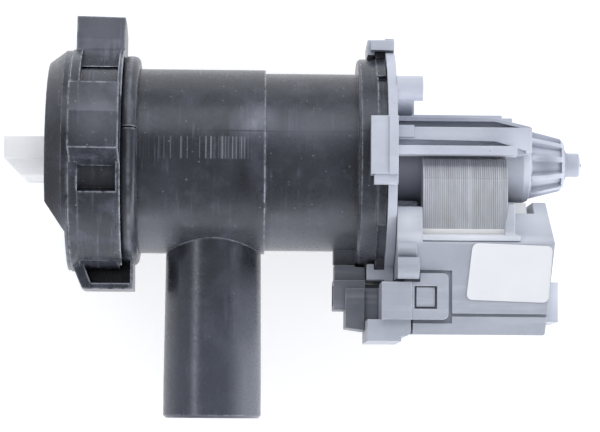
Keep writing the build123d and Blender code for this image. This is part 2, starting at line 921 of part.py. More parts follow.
# Motor frame: plate with claws, rotor cup, ribbed drum, support pin and the hood
with BuildPart() as motor_frame:
    turned(
        (plate_front, 0),
        (plate_front, plate_radius),
        (plate_rear, plate_radius),
        (plate_rear, cup_radius),
        (cup_rear - cup_round, cup_radius),
        (cup_rear - cup_round_step, cup_radius - cup_round_step),
        (cup_rear, cup_radius - cup_round),
        (cup_rear, 0),
    )
    for claw_angle in claw_angles:
        half = claw_width / 2
        inner = claw_radius - claw_wall
        bar(
            plate_front,
            plate_rear,
            claw_angle,
            (-half, plate_radius - 6),
            (half, plate_radius - 6),
            (half, ear_radius),
            (-half, ear_radius),
        )
        bar(
            claw_front,
            plate_front,
            claw_angle,
            (-half, inner),
            (half, inner),
            (half, claw_radius),
            (-half, claw_radius),
        )
        bar(
            claw_front,
            claw_front + claw_hook_length,
            claw_angle,
            (-half, inner - claw_hook_depth),
            (half, inner - claw_hook_depth),
            (half, inner),
            (-half, inner),
        )
        bar(
            stop_front,
            plate_rear,
            claw_angle,
            (-half - stop_width, plate_radius - 1),
            (-half, plate_radius - 1),
            (-half, claw_radius - stop_drop),
            (-half - stop_width, claw_radius - stop_drop),
        )
    # Ribbed drum: a tapered core with radial ribs, then a thin end cap
    core_front_radius = drum_front_radius * drum_core_share
    core_rear_radius = drum_rear_radius * drum_core_share
    turned(
        (cup_rear - 1, 0),
        (cup_rear - 1, core_front_radius),
        (drum_rear - drum_cap, core_rear_radius),
        (drum_rear - drum_cap, drum_rear_radius - 0.5),
        (drum_rear, drum_rear_radius - 1),
        (drum_rear, 0),
    )
    for i in range(drum_ribs):
        rib_angle = drum_rib_angle + 360 / drum_ribs * i
        a = radians(rib_angle)
        rib_plane = Plane(
            origin=(0, -drum_rib / 2 * cos(a), drum_rib / 2 * sin(a)),
            x_dir=(1, 0, 0),
            z_dir=(0, cos(a), -sin(a)),
        )
        with BuildSketch(rib_plane) as rib:
            with BuildLine():
                Polyline(
                    (cup_rear - 1, 0),
                    (cup_rear - 1, -drum_front_radius),
                    (cup_rear, -drum_front_radius),
                    (drum_rear - drum_cap, -drum_rear_radius),
                    (drum_rear - drum_cap / 2, -drum_rear_radius + 0.6),
                    (drum_rear - drum_cap / 2, 0),
                    close=True,
                )
            make_face()
        extrude(rib.sketch, amount=drum_rib, dir=(0, cos(a), -sin(a)))
    turned(
        (drum_rear - 1, 0),
        (drum_rear - 1, pin_radius + 1),
        (drum_rear + pin_collar, pin_radius + 1),
        (drum_rear + pin_collar, pin_radius),
        (pin_end - 0.4, pin_radius),
        (pin_end, pin_radius - 0.4),
        (pin_end, gate_radius),
        (gate_end, gate_radius),
        (gate_end, 0),
    )
    # Hood: roof and spine over the cup, then walls, shelf and ledge on both sides of it
    slab(
        -hood_side,
        hood_side,
        (plate_rear, hood_top - hood_skin),
        (plate_rear, hood_top),
        (hood_slope_x, hood_top),
        (hood_end, hood_end_top),
        (hood_end, hood_end_top - hood_skin),
        (hood_slope_x, hood_top - hood_skin),
    )
    block(plate_rear, spine_end, hood_top - 1, spine_top, -spine_half, spine_half)
    block(spine_end, spine_step_end, cup_radius - 1, spine_step_top, -spine_half, spine_half)
    for side in (-1, 1):
        upper_wall = sorted((side * (recess_side - hood_skin), side * recess_side))
        slab(
            *upper_wall,
            (plate_rear, shelf_top - hood_skin),
            (plate_rear, hood_top),
            (hood_slope_x, hood_top),
            (hood_end, hood_end_top),
            (hood_end, shelf_top - hood_skin),
        )
        shelf_roof = sorted((side * (recess_side - hood_skin), side * shelf_side))
        block(
            plate_rear,
            hood_end,
            shelf_top - hood_skin,
            shelf_top,
            *shelf_roof,
        )
        shelf = sorted((side * hood_side, side * shelf_side))
        slab(
            *shelf,
            (plate_rear, shelf_bottom),
            (plate_rear, shelf_top),
            (hood_end, shelf_top),
            (hood_end, shelf_end_bottom),
            (shelf_slope_x, shelf_bottom - 0.5),
        )
        pad = sorted((side * shelf_side, side * (shelf_side + shelf_pad)))
        block(plate_rear, shelf_pad_end, shelf_bottom + 0.6, shelf_top + shelf_pad, *pad)
        lower_wall = sorted((side * (hood_side - hood_skin), side * (hood_side + 0.1)))
        slab(
            *lower_wall,
            (plate_rear, ledge_bottom),
            (plate_rear, shelf_top),
            (hood_end, shelf_top),
            (hood_end, shelf_end_bottom),
            (ledge_end, ledge_bottom),
        )
        ledge = sorted((side * (hood_side - hood_skin), side * ledge_side))
        block(plate_rear, ledge_end, ledge_bottom, ledge_top, *ledge)
    # End wall that closes the hood against the cup
    slab(
        -shelf_side,
        shelf_side,
        (hood_end - 2, shelf_end_bottom),
        (hood_end - 2, shelf_top),
        (hood_end, shelf_top),
        (hood_end, shelf_end_bottom),
    )
    slab(
        -recess_side,
        recess_side,
        (hood_end - 2, shelf_top - 1),
        (hood_end - 2, hood_end_top),
        (hood_end, hood_end_top),
        (hood_end, shelf_top - 1),
    )
    # Posts behind the plate
    for side in (-1, 1):
        rod(plate_rear, high_post_end, high_post_y, side * high_post_z, high_post_radius)
        rod(plate_rear, low_post_end, low_post_y, side * low_post_z, low_post_radius)
    # Rotor space, open at the plate
    turned(
        (plate_front, 0),
        (plate_front, cup_bore),
        (cup_floor_x, cup_bore),
        (cup_floor_x, 0),
        mode=Mode.SUBTRACT,
    )
save(motor_frame, "motor_frame")

# Stator core: U-shaped sheets round the cup, with a slit between neighbours on the outside
sheets = round((core_rear - core_front) / sheet_pitch)


def core_outline(x, grow=0.0):
    """Outline of a sheet with both arms, before its window is cut."""
    outer = arm_outer + grow
    half = [
        (core_bottom - grow, outer),
        (arm_shoulder, outer),
        (arm_shoulder * 0.4, outer - 1.4),
        (-0.1, outer - 4.0),
        (-0.1, arm_tip_outer + grow),
        (arm_tip + grow, arm_tip_outer + grow),
    ]
    mirrored = [(u, -v) for u, v in reversed(half)]
    with BuildSketch(station(x)) as outline:
        with BuildLine():
            Polyline(*half, *mirrored, close=True)
        make_face()
    return outline.sketch


with BuildPart() as stator_core:
    extrude(core_outline(core_front), amount=core_rear - core_front, dir=(1, 0, 0))
    block(
        core_front,
        core_rear,
        core_bottom + yoke_height,
        arm_tip + 1,
        -arm_inner,
        arm_inner,
        mode=Mode.SUBTRACT,
    )
    with BuildSketch(station(core_front)) as pole:
        Circle(cup_radius + pole_gap)
    extrude(pole.sketch, amount=core_rear - core_front, dir=(1, 0, 0), mode=Mode.SUBTRACT)
    # Slits along the arms' outer faces
    slit_planes = [station(core_front + sheet_pitch * i - slit / 2) for i in range(1, sheets)]
    with BuildSketch(*slit_planes) as slits:
        for side in (-1, 1):
            with BuildLine():
                Polyline(
                    (box_top + 1, side * (arm_outer - slit_depth)),
                    (box_top + 1, side * (arm_outer + 1)),
                    (arm_shoulder + 0.2, side * (arm_outer + 1)),
                    (0.5, side * (arm_outer - 3)),
                    (-0.1, side * (arm_outer - 4.0 - slit_depth)),
                    (arm_shoulder * 0.4, side * (arm_outer - 1.4 - slit_depth)),
                    (arm_shoulder, side * (arm_outer - slit_depth)),
                    close=True,
                )
            make_face()
    extrude(slits.sketch, amount=slit, dir=(1, 0, 0), mode=Mode.SUBTRACT)
save(stator_core, "stator_core")

# Bobbins and windings, one pair on each arm
bobbin_bottom = core_bottom + yoke_height + 0.3
bobbin_top = box_top + 1.8
core_x0 = core_front - bobbin_fit
core_x1 = core_rear + bobbin_fit
arm_z0 = arm_inner - bobbin_fit
arm_z1 = arm_outer + bobbin_fit


def sleeve(side, low, high, reach, mode=Mode.ADD):
    """A block round one arm, reaching past it by the same distance on every side."""
    z_pair = sorted((side * (arm_z0 - reach), side * (arm_z1 + reach)))
    block(core_x0 - reach, core_x1 + reach, low, high, *z_pair, mode=mode)


for name, side in (("near", 1), ("far", -1)):
    with BuildPart() as bobbin:
        sleeve(side, bobbin_bottom, bobbin_bottom + bobbin_flange, bobbin_flange_reach)
        sleeve(side, bobbin_bottom, bobbin_top, bobbin_wall)
        sleeve(side, bobbin_top - bobbin_flange, bobbin_top, bobbin_wall + 0.6)
        sleeve(side, bobbin_bottom, bobbin_top, 0, mode=Mode.SUBTRACT)
    save(bobbin, f"bobbin_{name}")
    with BuildPart() as winding:
        low = bobbin_bottom + bobbin_flange + winding_fit
        high = bobbin_top - 2 * bobbin_flange - 2.0
        sleeve(side, low, high, bobbin_wall + winding_build)
        fillet(winding.edges().filter_by(Axis.Y), radius=winding_build)
        sleeve(side, low, high, bobbin_wall + winding_fit, mode=Mode.SUBTRACT)
    save(winding, f"winding_{name}")

# Coil housing: box with a sloped gusset beside the cup, knuckles, a groove and two catches
with BuildPart() as coil_housing:
    slab(
        -box_side,
        box_side,
        (box_left, box_top),
        (box_left, box_step_y),
        (box_mid_left, box_step_y),
        (box_mid_left, box_step_low_y),
        (box_low_left, box_step_low_y),
        (box_low_left, box_bottom),
        (box_right_low, box_bottom),
        (box_right, box_edge),
        (box_right_high, gusset_top),
        (gusset_left, gusset_top),
        (gusset_left, box_top),
    )
    bottom_edges = coil_housing.edges().filter_by(Axis.Z).group_by(Axis.Y)[0]
    fillet(bottom_edges.sort_by(Axis.X)[-1], radius=box_corner)
    bar(
        box_left,
        box_right + 1,
        0,
        (box_bottom + box_bottom_draft, -box_side),
        (box_edge, -box_side),
        (gusset_top, -gusset_side),
        (gusset_top, gusset_side),
        (box_edge, box_side),
        (box_bottom, box_side),
        mode=Mode.INTERSECT,
    )
    for side in (-1, 1):
        # Rounded knuckles that locate the housing against the plate
        z_top = side * (box_side - top_knuckle_radius)
        rod(knuckle_left, top_knuckle_end, top_knuckle_y, z_top, top_knuckle_radius)
        root = sorted((side * (box_side - 2 * top_knuckle_radius), side * box_side))
        block(knuckle_left, top_knuckle_end, box_edge - 1, top_knuckle_y, *root)
        z_mid = side * (box_side - mid_knuckle_radius / 2)
        rod(knuckle_left, mid_knuckle_end, mid_knuckle_y, z_mid, mid_knuckle_radius)
        # Pocket that the snap loop lies in
        pocket = sorted((side * (box_side - pocket_depth), side * (box_side + 1)))
        block(
            box_left - 1,
            pocket_right,
            pocket_bottom,
            pocket_top,
            *pocket,
            mode=Mode.SUBTRACT,
        )
        z_low = side * (box_side + low_knuckle_rise)
        rod(knuckle_left, low_knuckle_end, low_knuckle_y, z_low, low_knuckle_radius)
        block(knuckle_left, low_knuckle_end, box_step_y, pocket_top + 1, *sorted((side * 25, z_low)))
    # Room for the bobbins and windings, open at the top where the arms come in
    reach = bobbin_flange_reach + bobbin_fit + 0.15
    side_reach = arm_outer + reach
    block(
        core_front - reach,
        core_rear + reach,
        bobbin_bottom - 0.1,
        bobbin_top - bobbin_flange - 0.6,
        -side_reach,
        side_reach,
        mode=Mode.SUBTRACT,
    )
    block(
        core_front - bobbin_fit,
        core_rear + bobbin_fit,
        core_bottom - bobbin_fit,
        bobbin_bottom,
        -arm_outer - bobbin_fit,
        arm_outer + bobbin_fit,
        mode=Mode.SUBTRACT,
    )
    mouth = bobbin_fit + bobbin_wall + 0.7
    block(
        core_front - mouth,
        core_rear + mouth,
        bobbin_bottom,
        bobbin_top + 0.2,
        -arm_outer - mouth,
        arm_outer + mouth,
        mode=Mode.SUBTRACT,
    )
    block(
        core_front - 1,
        core_rear + bobbin_fit,
        bobbin_bottom,
        gusset_top + 1,
        -arm_outer - mouth,
        arm_outer + mouth,
        mode=Mode.SUBTRACT,
    )
    turned(
        (gusset_left - 1, 0),
        (gusset_left - 1, cup_radius + 0.4),
        (box_right + 1, cup_radius + 0.4),
        (box_right + 1, 0),
        mode=Mode.SUBTRACT,
    )
    # Seat and slot of the wire guide
    block(
        guide_left - 0.1,
        guide_right + guide_slot,
        guide_bottom - 0.1,
        gusset_top + 1,
        -guide_half,
        guide_half,
        mode=Mode.SUBTRACT,
    )
    for side in (-1, 1):
        groove = sorted((side * (box_side - box_groove_depth), side * (box_side + 1)))
        block(
            loop_right,
            box_right + 1,
            box_groove_y - box_groove_width,
            box_groove_y,
            *groove,
            mode=Mode.SUBTRACT,
        )
        # Catch that fills the snap loop's window
        catch = sorted((side * (box_side - pocket_depth - 0.5), side * (box_side + 0.6)))
        block(
            window_left + catch_gap,
            window_right - catch_gap,
            window_bottom + catch_gap,
            window_top - catch_gap / 2,
            *catch,
        )
    block(
        box_right_low - 2,
        tail_right,
        tail_bottom,
        tail_top,
        tail_side - tail_depth,
        tail_side,
    )
save(coil_housing, "coil_housing")

# Wire guide in its seat beside the cup
with BuildPart() as wire_guide:
    bar(
        guide_left,
        guide_right,
        0,
        (guide_bottom, -gusset_side - 1.5),
        (guide_bottom, gusset_side + 1.5),
        (gusset_top, gusset_side - 1.5),
        (gusset_top, -gusset_side + 1.5),
    )
save(wire_guide, "wire_guide")

# Terminal cover: a block beside the coil housing, held by a snap loop on each face
loop_base = box_side - pocket_depth + cover_gap
cover_side = loop_base + loop_thickness
with BuildPart() as terminal_cover:
    block(cover_left, cover_back, cover_split, cover_top, -cover_side, cover_side)
    block(
        cover_left - 1,
        cover_back + 1,
        cover_claw_top,
        cover_top + 1,
        -cover_claw_half,
        cover_claw_half,
        mode=Mode.SUBTRACT,
    )
    with BuildSketch(Plane.XY.offset(box_side - cover_foot_depth)) as foot:
        with BuildLine():
            Polyline(
                (cover_foot_left, cover_split),
                (cover_foot_left, cover_bottom),
                (cover_foot_step, cover_bottom),
                (cover_foot_step, cover_bottom + cover_foot_rise),
                (cover_right, cover_bottom + cover_foot_rise),
                (cover_right, cover_split),
                close=True,
            )
        make_face()
        fillet(foot.vertices().sort_by(Axis.X)[-2:].sort_by(Axis.Y)[0], radius=cover_round)
    extrude(foot.sketch, amount=cover_foot_depth, dir=(0, 0, 1))
    for side in (-1, 1):
        base = min(side * loop_base, side * cover_side)
        with BuildSketch(Plane.XY.offset(base)) as loop:
            with BuildLine():
                Polyline(
                    (cover_back - 1, cover_split),
                    (loop_right, cover_split),
                    (loop_right, loop_top),
                    (low_knuckle_end + 0.4, loop_top),
                    (low_knuckle_end + 0.4, cover_top),
                    (cover_back - 1, cover_top),
                    close=True,
                )
            make_face()
            fillet(loop.vertices().group_by(Axis.X)[-1], radius=loop_round)
            with Locations(((window_left + window_right) / 2, (window_top + window_bottom) / 2)):
                Rectangle(
                    window_right - window_left, window_top - window_bottom, mode=Mode.SUBTRACT
                )
        extrude(loop.sketch, amount=loop_thickness, dir=(0, 0, 1))
        proud = sorted((side * (cover_side - 1), side * (cover_side + cover_proud)))
        block(cover_left, cover_face, cover_split, cover_top, *proud)
save(terminal_cover, "terminal_cover")

# Connector shell: stepped socket that opens away from the motor
with BuildPart() as connector_shell:
    neck_side = shell_side - shell_wall
    block(shell_neck_x - 1, shell_right, cover_split, shell_top, -neck_side, neck_side)
    slab(
        -shell_side,
        shell_side,
        (shell_step_x, shell_top),
        (shell_step_x, shell_low_left),
        (cover_foot_left - 0.2, shell_low_right),
        (cover_foot_left - 0.2, shell_top),
    )
    block(shell_left, shell_step_x, shell_lip_bottom, shell_ledge, -shell_lip_side, shell_lip_side)
    block(shell_left, shell_neck_x - 0.4, shell_top - 1, shell_ledge, -shell_lip_side, shell_lip_side)
    for end, top in (
        (volute_front - 0.4, shell_roof_top),
        (shell_neck_x - 0.4, -volute_radius - 0.4),
    ):
        block(shell_left + 0.3, end, shell_ledge, top, -shell_roof_side, shell_roof_side)
    # Socket
    block(
        shell_left - 1,
        shell_left + socket_depth,
        shell_lip_bottom + shell_wall,
        shell_ledge - shell_wall,
        -shell_lip_side + shell_wall,
        shell_lip_side - shell_wall,
        mode=Mode.SUBTRACT,
    )
save(connector_shell, "connector_shell")

# Two spade terminals in the socket
with BuildPart() as terminals:
    blade_mid = (shell_lip_bottom + shell_ledge) / 2
    for side in (-1, 1):
        mid = side * blade_spacing / 2
        block(
            shell_left + 1.5,
            shell_left + socket_depth,
            blade_mid - blade_width / 2,
            blade_mid + blade_width / 2,
            mid - spade_thickness / 2,
            mid + spade_thickness / 2,
        )
save(terminals, "terminals")

# Label on the coil housing, stuck on slightly askew
with BuildPart() as blank_label:
    with BuildSketch(Plane.XY.offset(box_side)) as face:
        with BuildLine():
            Polyline(
                (label_left, label_top - label_height),
                (label_left + label_lean, label_top),
                (label_left + label_lean + label_width - label_tilt, label_top - label_tilt),
                (label_left + label_width, label_top - label_height - label_drop),
                close=True,
            )
        make_face()
        fillet(face.vertices(), radius=label_corner)
    extrude(amount=label_thickness)
save(blank_label, "blank_label")
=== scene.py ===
# %% [markdown]
# A drain pump lies on its side on a white sheet and is photographed from above.
# Its plain mouldings come from the CAD frame, because their shapes are already right there.
# What a plain solid can't show is made here: separate steel sheets, wound wire, small webs and
# lips, a half-round bead, a label that lifts at its corners, and the finish of every surface.

# %% Load the frame
import json
from math import acos, cos, degrees, pi, radians, sin, tau

import bmesh
import bpy
import numpy as np
from mathutils import Matrix, Vector


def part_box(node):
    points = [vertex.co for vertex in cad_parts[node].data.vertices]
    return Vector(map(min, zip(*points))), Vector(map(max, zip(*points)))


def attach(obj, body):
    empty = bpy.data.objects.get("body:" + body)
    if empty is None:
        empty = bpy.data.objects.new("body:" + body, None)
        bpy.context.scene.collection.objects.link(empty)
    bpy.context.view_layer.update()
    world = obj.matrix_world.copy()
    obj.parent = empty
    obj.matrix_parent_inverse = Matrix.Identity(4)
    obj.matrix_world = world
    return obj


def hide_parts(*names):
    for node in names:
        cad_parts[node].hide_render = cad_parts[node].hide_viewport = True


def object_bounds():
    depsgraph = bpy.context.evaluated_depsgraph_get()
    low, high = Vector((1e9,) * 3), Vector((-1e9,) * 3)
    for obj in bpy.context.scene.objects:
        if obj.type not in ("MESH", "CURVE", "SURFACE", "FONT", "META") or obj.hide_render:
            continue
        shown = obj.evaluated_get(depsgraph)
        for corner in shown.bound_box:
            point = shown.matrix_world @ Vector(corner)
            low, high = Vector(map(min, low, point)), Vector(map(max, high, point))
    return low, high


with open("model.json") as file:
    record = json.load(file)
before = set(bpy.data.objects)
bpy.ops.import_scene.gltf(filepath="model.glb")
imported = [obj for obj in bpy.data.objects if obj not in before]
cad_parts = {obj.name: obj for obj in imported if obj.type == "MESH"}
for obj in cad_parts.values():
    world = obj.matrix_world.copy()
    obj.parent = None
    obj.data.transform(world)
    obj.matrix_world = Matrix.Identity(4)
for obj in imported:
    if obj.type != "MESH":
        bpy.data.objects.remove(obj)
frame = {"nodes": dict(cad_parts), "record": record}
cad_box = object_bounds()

MM = 0.001
nodes = frame["nodes"]
body_of = {n: body for body, names in frame["record"]["behaviour"]["bodies"].items()
           for n in names}
slot_of = {part["node"]: part["material_slot"] for part in frame["record"]["subparts"]}
print("frame:", len(nodes), "nodes, box", [[round(v, 4) for v in corner] for corner in cad_box])

# %% [markdown]
# The camera looks almost straight down. It stands far away with a long lens, as for a catalogue,
# so near and far edges stay almost parallel. It is turned by one degree, tilted by four and
# rolled by half a degree, which is why the undersides of the collar and the motor just show.
# Its distance, counted in pixels of the picture, gives the focal length.

# %% Camera
SHOT_WIDTH = 600
PIXELS_AWAY = 2800
SENSOR_WIDTH = 36.0
ROLL = radians(0.45)
target = Vector((75.44, -17.55, 0.0)) * MM
eye = Vector((58.61, -83.21, 915.90)) * MM
forward = (target - eye).normalized()
level = forward.cross(Vector((0, 1, 0))).normalized()
upward = level.cross(forward).normalized()
side = level * cos(ROLL) + upward * sin(ROLL)
top = upward * cos(ROLL) - level * sin(ROLL)

lens = bpy.data.cameras.new("catalogue_lens")
lens.sensor_width = SENSOR_WIDTH
lens.lens = PIXELS_AWAY / SHOT_WIDTH * SENSOR_WIDTH
lens.clip_start, lens.clip_end = 0.01, 10.0
camera = bpy.data.objects.new("catalogue_camera", lens)
camera.matrix_world = Matrix((
    (side.x, top.x, -forward.x, eye.x),
    (side.y, top.y, -forward.y, eye.y),
    (side.z, top.z, -forward.z, eye.z),
    (0, 0, 0, 1),
))
bpy.context.scene.collection.objects.link(camera)
bpy.context.scene.camera = camera
bpy.context.scene.view_settings.view_transform = "Standard"
print("camera:", round(lens.lens, 1), "mm lens,", round((target - eye).length, 3), "m away")

# %% [markdown]
# Colours are written as sRGB hex values, as a paint chart gives them. The renderer counts in
# linear light, so one function turns them. One more function adds a node, sets it and links it,
# which keeps each finish below to a short list of what it is made of.

# %% Colour and node helpers
def linear(colour):
    """Each channel c of a hex colour becomes c/12.92 below 0.04045, else ((c+0.055)/1.055)^2.4."""
    c = np.array([int(colour[i:i + 2], 16) for i in (1, 3, 5)]) / 255
    c = np.where(c <= 0.04045, c / 12.92, ((c + 0.055) / 1.055) ** 2.4)
    return (*c.tolist(), 1.0)


def add(tree, kind, settings=None, **sockets):
    """Add a node. A socket, by its name or as _ and its number, gets a value or a link."""
    node = tree.nodes.new(kind)
    for name, value in (settings or {}).items():
        setattr(node, name, value)
    for name, value in sockets.items():
        key = int(name[1:]) if name[1:].isdigit() else name.replace("_", " ")
        if isinstance(value, bpy.types.NodeSocket):
            tree.links.new(value, node.inputs[key])
        else:
            node.inputs[key].default_value = value
    return node


def finish(name, roughness, **sockets):
    """A new material with one Principled shader; gives the material, its nodes and the shader."""
    made = bpy.data.materials.new(name)
    made.use_nodes = True
    tree = made.node_tree
    tree.nodes.clear()
    shader = add(tree, "ShaderNodeBsdfPrincipled", Roughness=roughness, **sockets)
    add(tree, "ShaderNodeOutputMaterial", Surface=shader.outputs[0])
    return made, tree, shader


print("white turns to", linear("#FFFFFF"))

# %% [markdown]
# The ground is a white sheet that the pump lies on. It keeps the faint shadow, and where no
# shadow falls the camera sees it as white. A little glow that only the camera and reflections
# see does that, because brighter lamps would bleach the pale mouldings too.

# %% White sheet under the pump
SHEET_REACH = 3.0
GLOW = 0.50


def times(tree, *masks):
    """The product of masks and plain numbers."""
    result = masks[0]
    for mask in masks[1:]:
        result = add(tree, "ShaderNodeMath", {"operation": "MULTIPLY"}, _0=result,
                     _1=mask).outputs[0]
    return result


floor_z = cad_box[0][2]
sheet_mesh = bpy.data.meshes.new("white_sheet")
sheet_mesh.from_pydata([(SHEET_REACH * x, SHEET_REACH * y, floor_z)
                        for x, y in ((-1, -1), (1, -1), (1, 1), (-1, 1))], [], [(0, 1, 2, 3)])
white_sheet = bpy.data.objects.new("white_sheet", sheet_mesh)
bpy.context.scene.collection.objects.link(white_sheet)
paper, tree, shader = finish("matt_white_paper_sheet", 0.9, Base_Color=linear("#E1E1E2"),
                             Specular_IOR_Level=0.1)
path = add(tree, "ShaderNodeLightPath")
seen = path.outputs["Is Camera Ray"]
for ray_kind in ("Is Glossy Ray", "Is Transmission Ray"):
    seen = add(tree, "ShaderNodeMath", {"operation": "MAXIMUM"}, _0=seen,
               _1=path.outputs[ray_kind]).outputs[0]
glow = add(tree, "ShaderNodeEmission", Color=(1, 1, 1, 1), Strength=times(tree, seen, GLOW))
both = add(tree, "ShaderNodeAddShader", _0=shader.outputs[0], _1=glow.outputs[0])
tree.links.new(both.outputs[0], tree.nodes["Material Output"].inputs[0])
sheet_mesh.materials.append(paper)
print("sheet at z =", round(floor_z, 4))

# %% [markdown]
# Black plastic shows its shape only by what it mirrors. In a light tent the walls are bright and
# the hole for the camera overhead is dim, so a tube looks dark along its middle and bright along
# both rims. The room here does the same, and its wall is brightest on one side, as by a window.

# %% Room
DAYLIGHT = "#F8FAFF"
CEILING, WALL, NEAR_WALL = 0.47, 0.95, 2.6
WINDOW_WAY = (0.7, -0.7, 0.0)
room = bpy.data.worlds.new("light_tent")
bpy.context.scene.world = room
room.use_nodes = True
tree = room.node_tree
tree.nodes.clear()
way = add(tree, "ShaderNodeTexCoord").outputs["Generated"]
height = add(tree, "ShaderNodeSeparateXYZ", Vector=way)
towards = add(tree, "ShaderNodeVectorMath", {"operation": "DOT_PRODUCT"}, _0=way, _1=WINDOW_WAY)
wall = add(tree, "ShaderNodeMapRange", _0=towards.outputs["Value"], _1=0.0, _2=0.9, _3=WALL,
           _4=NEAR_WALL)
rise = add(tree, "ShaderNodeMapRange", {"interpolation_type": "SMOOTHSTEP"},
           _0=height.outputs[2], _1=0.05, _2=0.75)
strength = add(tree, "ShaderNodeMix", Factor=rise.outputs[0], _2=wall.outputs[0], _3=CEILING)
sky = add(tree, "ShaderNodeBackground", Color=linear(DAYLIGHT), Strength=strength.outputs[0])
add(tree, "ShaderNodeOutputWorld", Surface=sky.outputs[0])
print("room: strength", WALL, "to", NEAR_WALL, "at the walls and", CEILING, "overhead")

# %% [markdown]
# A large softbox on the upper side gives the clear tone change along the tube, and a low one on
# the other side lights the rims from below. A narrow strip on the left draws the thin bright
# line down the spigot and round the bead. It is there for its reflection alone, so that it
# doesn't light the pale mouldings.

# %% Lamps
def softbox(name, place, width, height, brightness):
    """A rectangular lamp turned to the pump. Its power is brightness times pi times its area."""
    lamp = bpy.data.lights.new(name, "AREA")
    lamp.shape = "RECTANGLE"
    lamp.size, lamp.size_y = width, height
    lamp.energy = brightness * pi * width * height
    lamp.color = linear(DAYLIGHT)[:3]
    piece = bpy.data.objects.new(name, lamp)
    piece.location = place
    piece.rotation_euler = (target - Vector(place)).to_track_quat("-Z", "Y").to_euler()
    bpy.context.scene.collection.objects.link(piece)
    return piece


upper = softbox("upper_softbox", (0.05, 0.77, 0.66), 1.6, 0.62, 2.0)
lower = softbox("lower_softbox", (0.74, -0.74, 0.42), 1.3, 0.5, 3.0)
strip = softbox("strip_lamp", (-0.62, -0.05, 0.76), 1.3, 0.09, 11.0)
strip.visible_diffuse = False
print("lamps, W:", [round(lamp.data.energy, 1) for lamp in (upper, lower, strip)])

# %% [markdown]
# Moulded edges are never quite sharp: the mould's corners are eroded with a small radius, and
# handling rubs them pale. The Bevel node gives the rounded normal near an edge, and where that
# leaves the face's own normal there is an edge. An inner corner has an edge too, and gets painted
# shade instead. Little open sky above a point tells such a corner from a proud edge.

# %% Rounded and rubbed edges, painted shade in inner corners
EDGE_FROM, EDGE_FULL = 0.985, 0.88
CORNER_SKY, OPEN_SKY = 0.45, 0.92
CORNER_REACH_MM = 2.5


def rounded(tree, radius_mm):
    """Normal of a face whose edges are rounded with this radius."""
    return add(tree, "ShaderNodeBevel", {"samples": 8}, Radius=radius_mm * MM).outputs[0]


def worn(tree, rub_mm):
    """Two masks: a proud edge, as edge * open sky with edge from rounded . own, and open sky."""
    own = add(tree, "ShaderNodeNewGeometry")
    match = add(tree, "ShaderNodeVectorMath", {"operation": "DOT_PRODUCT"},
                _0=rounded(tree, rub_mm), _1=own.outputs["Normal"])
    edge = add(tree, "ShaderNodeMapRange", _0=match.outputs["Value"], _1=EDGE_FROM, _2=EDGE_FULL)
    sky = add(tree, "ShaderNodeAmbientOcclusion", {"samples": 6}, Distance=CORNER_REACH_MM * MM)
    open_sky = add(tree, "ShaderNodeMapRange", _0=sky.outputs["AO"], _1=CORNER_SKY,
                   _2=OPEN_SKY).outputs[0]
    return times(tree, edge.outputs[0], open_sky), open_sky


print("an edge shows where the rounded normal leans by", round(degrees(acos(EDGE_FROM))), "to",
      round(degrees(acos(EDGE_FULL))), "degrees")

# %% [markdown]
# Clouds of bloom, strokes and grain are all fractal noise. Its scale is the number of waves in a
# metre, so each is worked out from the real size of one wave. A moulded grain of 0.1 mm would be
# too fine to show here and is drawn about ten times as coarse.

# %% Clouds and grain
EVEN = (1.0, 1.0, 1.0)


def per_metre(size_mm):
    """How many patterns of this size fit in a metre, as a whole number."""
    return round(1 / (size_mm * MM))


def noise(tree, where, size_mm, detail=3.0, stretch=EVEN, fading=0.6):
    """Fractal noise with waves of size_mm, drawn out where stretch is below 1."""
    drawn = add(tree, "ShaderNodeMapping", Vector=where, Scale=stretch)
    return add(tree, "ShaderNodeTexNoise", Vector=drawn.outputs[0], Scale=per_metre(size_mm),
               Detail=detail, Roughness=fading).outputs[0]


def clouds(tree, where, size_mm, low, high, detail=3.0, stretch=EVEN):
    """Mask of clouds: 0 where the noise is below low and 1 where it is above high."""
    drift = noise(tree, where, size_mm, detail, stretch)
    return add(tree, "ShaderNodeMapRange", _0=drift, _1=low, _2=high).outputs[0]


def uneven_skin(tree, shader, where, normal, rough, spread, grain_mm, depth_mm):
    """Roughness rough +- spread and a bump of depth_mm, both from one fine grain."""
    grain = noise(tree, where, grain_mm, 2.0)
    gloss = add(tree, "ShaderNodeMapRange", _0=grain, _1=0.3, _2=0.7, _3=rough - spread,
                _4=rough + spread)
    relief = add(tree, "ShaderNodeBump", Height=grain, Strength=0.4, Distance=depth_mm * MM,
                 Normal=normal)
    tree.links.new(gloss.outputs[0], shader.inputs["Roughness"])
    tree.links.new(relief.outputs[0], shader.inputs["Normal"])


print("waves of 18 mm and 1 mm:", per_metre(18.2), "and", per_metre(1.111), "a metre")

# %% [markdown]
# Specks are scattered by a cell pattern, of which only a share of the cells is kept. A window is
# a stretch of one axis with soft ends, for marks that have a place of their own.

# %% Specks and windows
def specks(tree, where, apart_mm, size, share):
    """Mask of round specks: 1 within half of size, in cells, of the points that share keeps."""
    cell = add(tree, "ShaderNodeTexVoronoi", {"feature": "F1"}, Vector=where,
               Scale=per_metre(apart_mm))
    near = add(tree, "ShaderNodeMapRange", _0=cell.outputs["Distance"], _1=size, _2=size * 0.5)
    pick = add(tree, "ShaderNodeSeparateColor", _0=cell.outputs["Color"])
    kept = add(tree, "ShaderNodeMath", {"operation": "LESS_THAN"}, _0=pick.outputs[0], _1=share)
    return times(tree, near.outputs[0], kept.outputs[0])


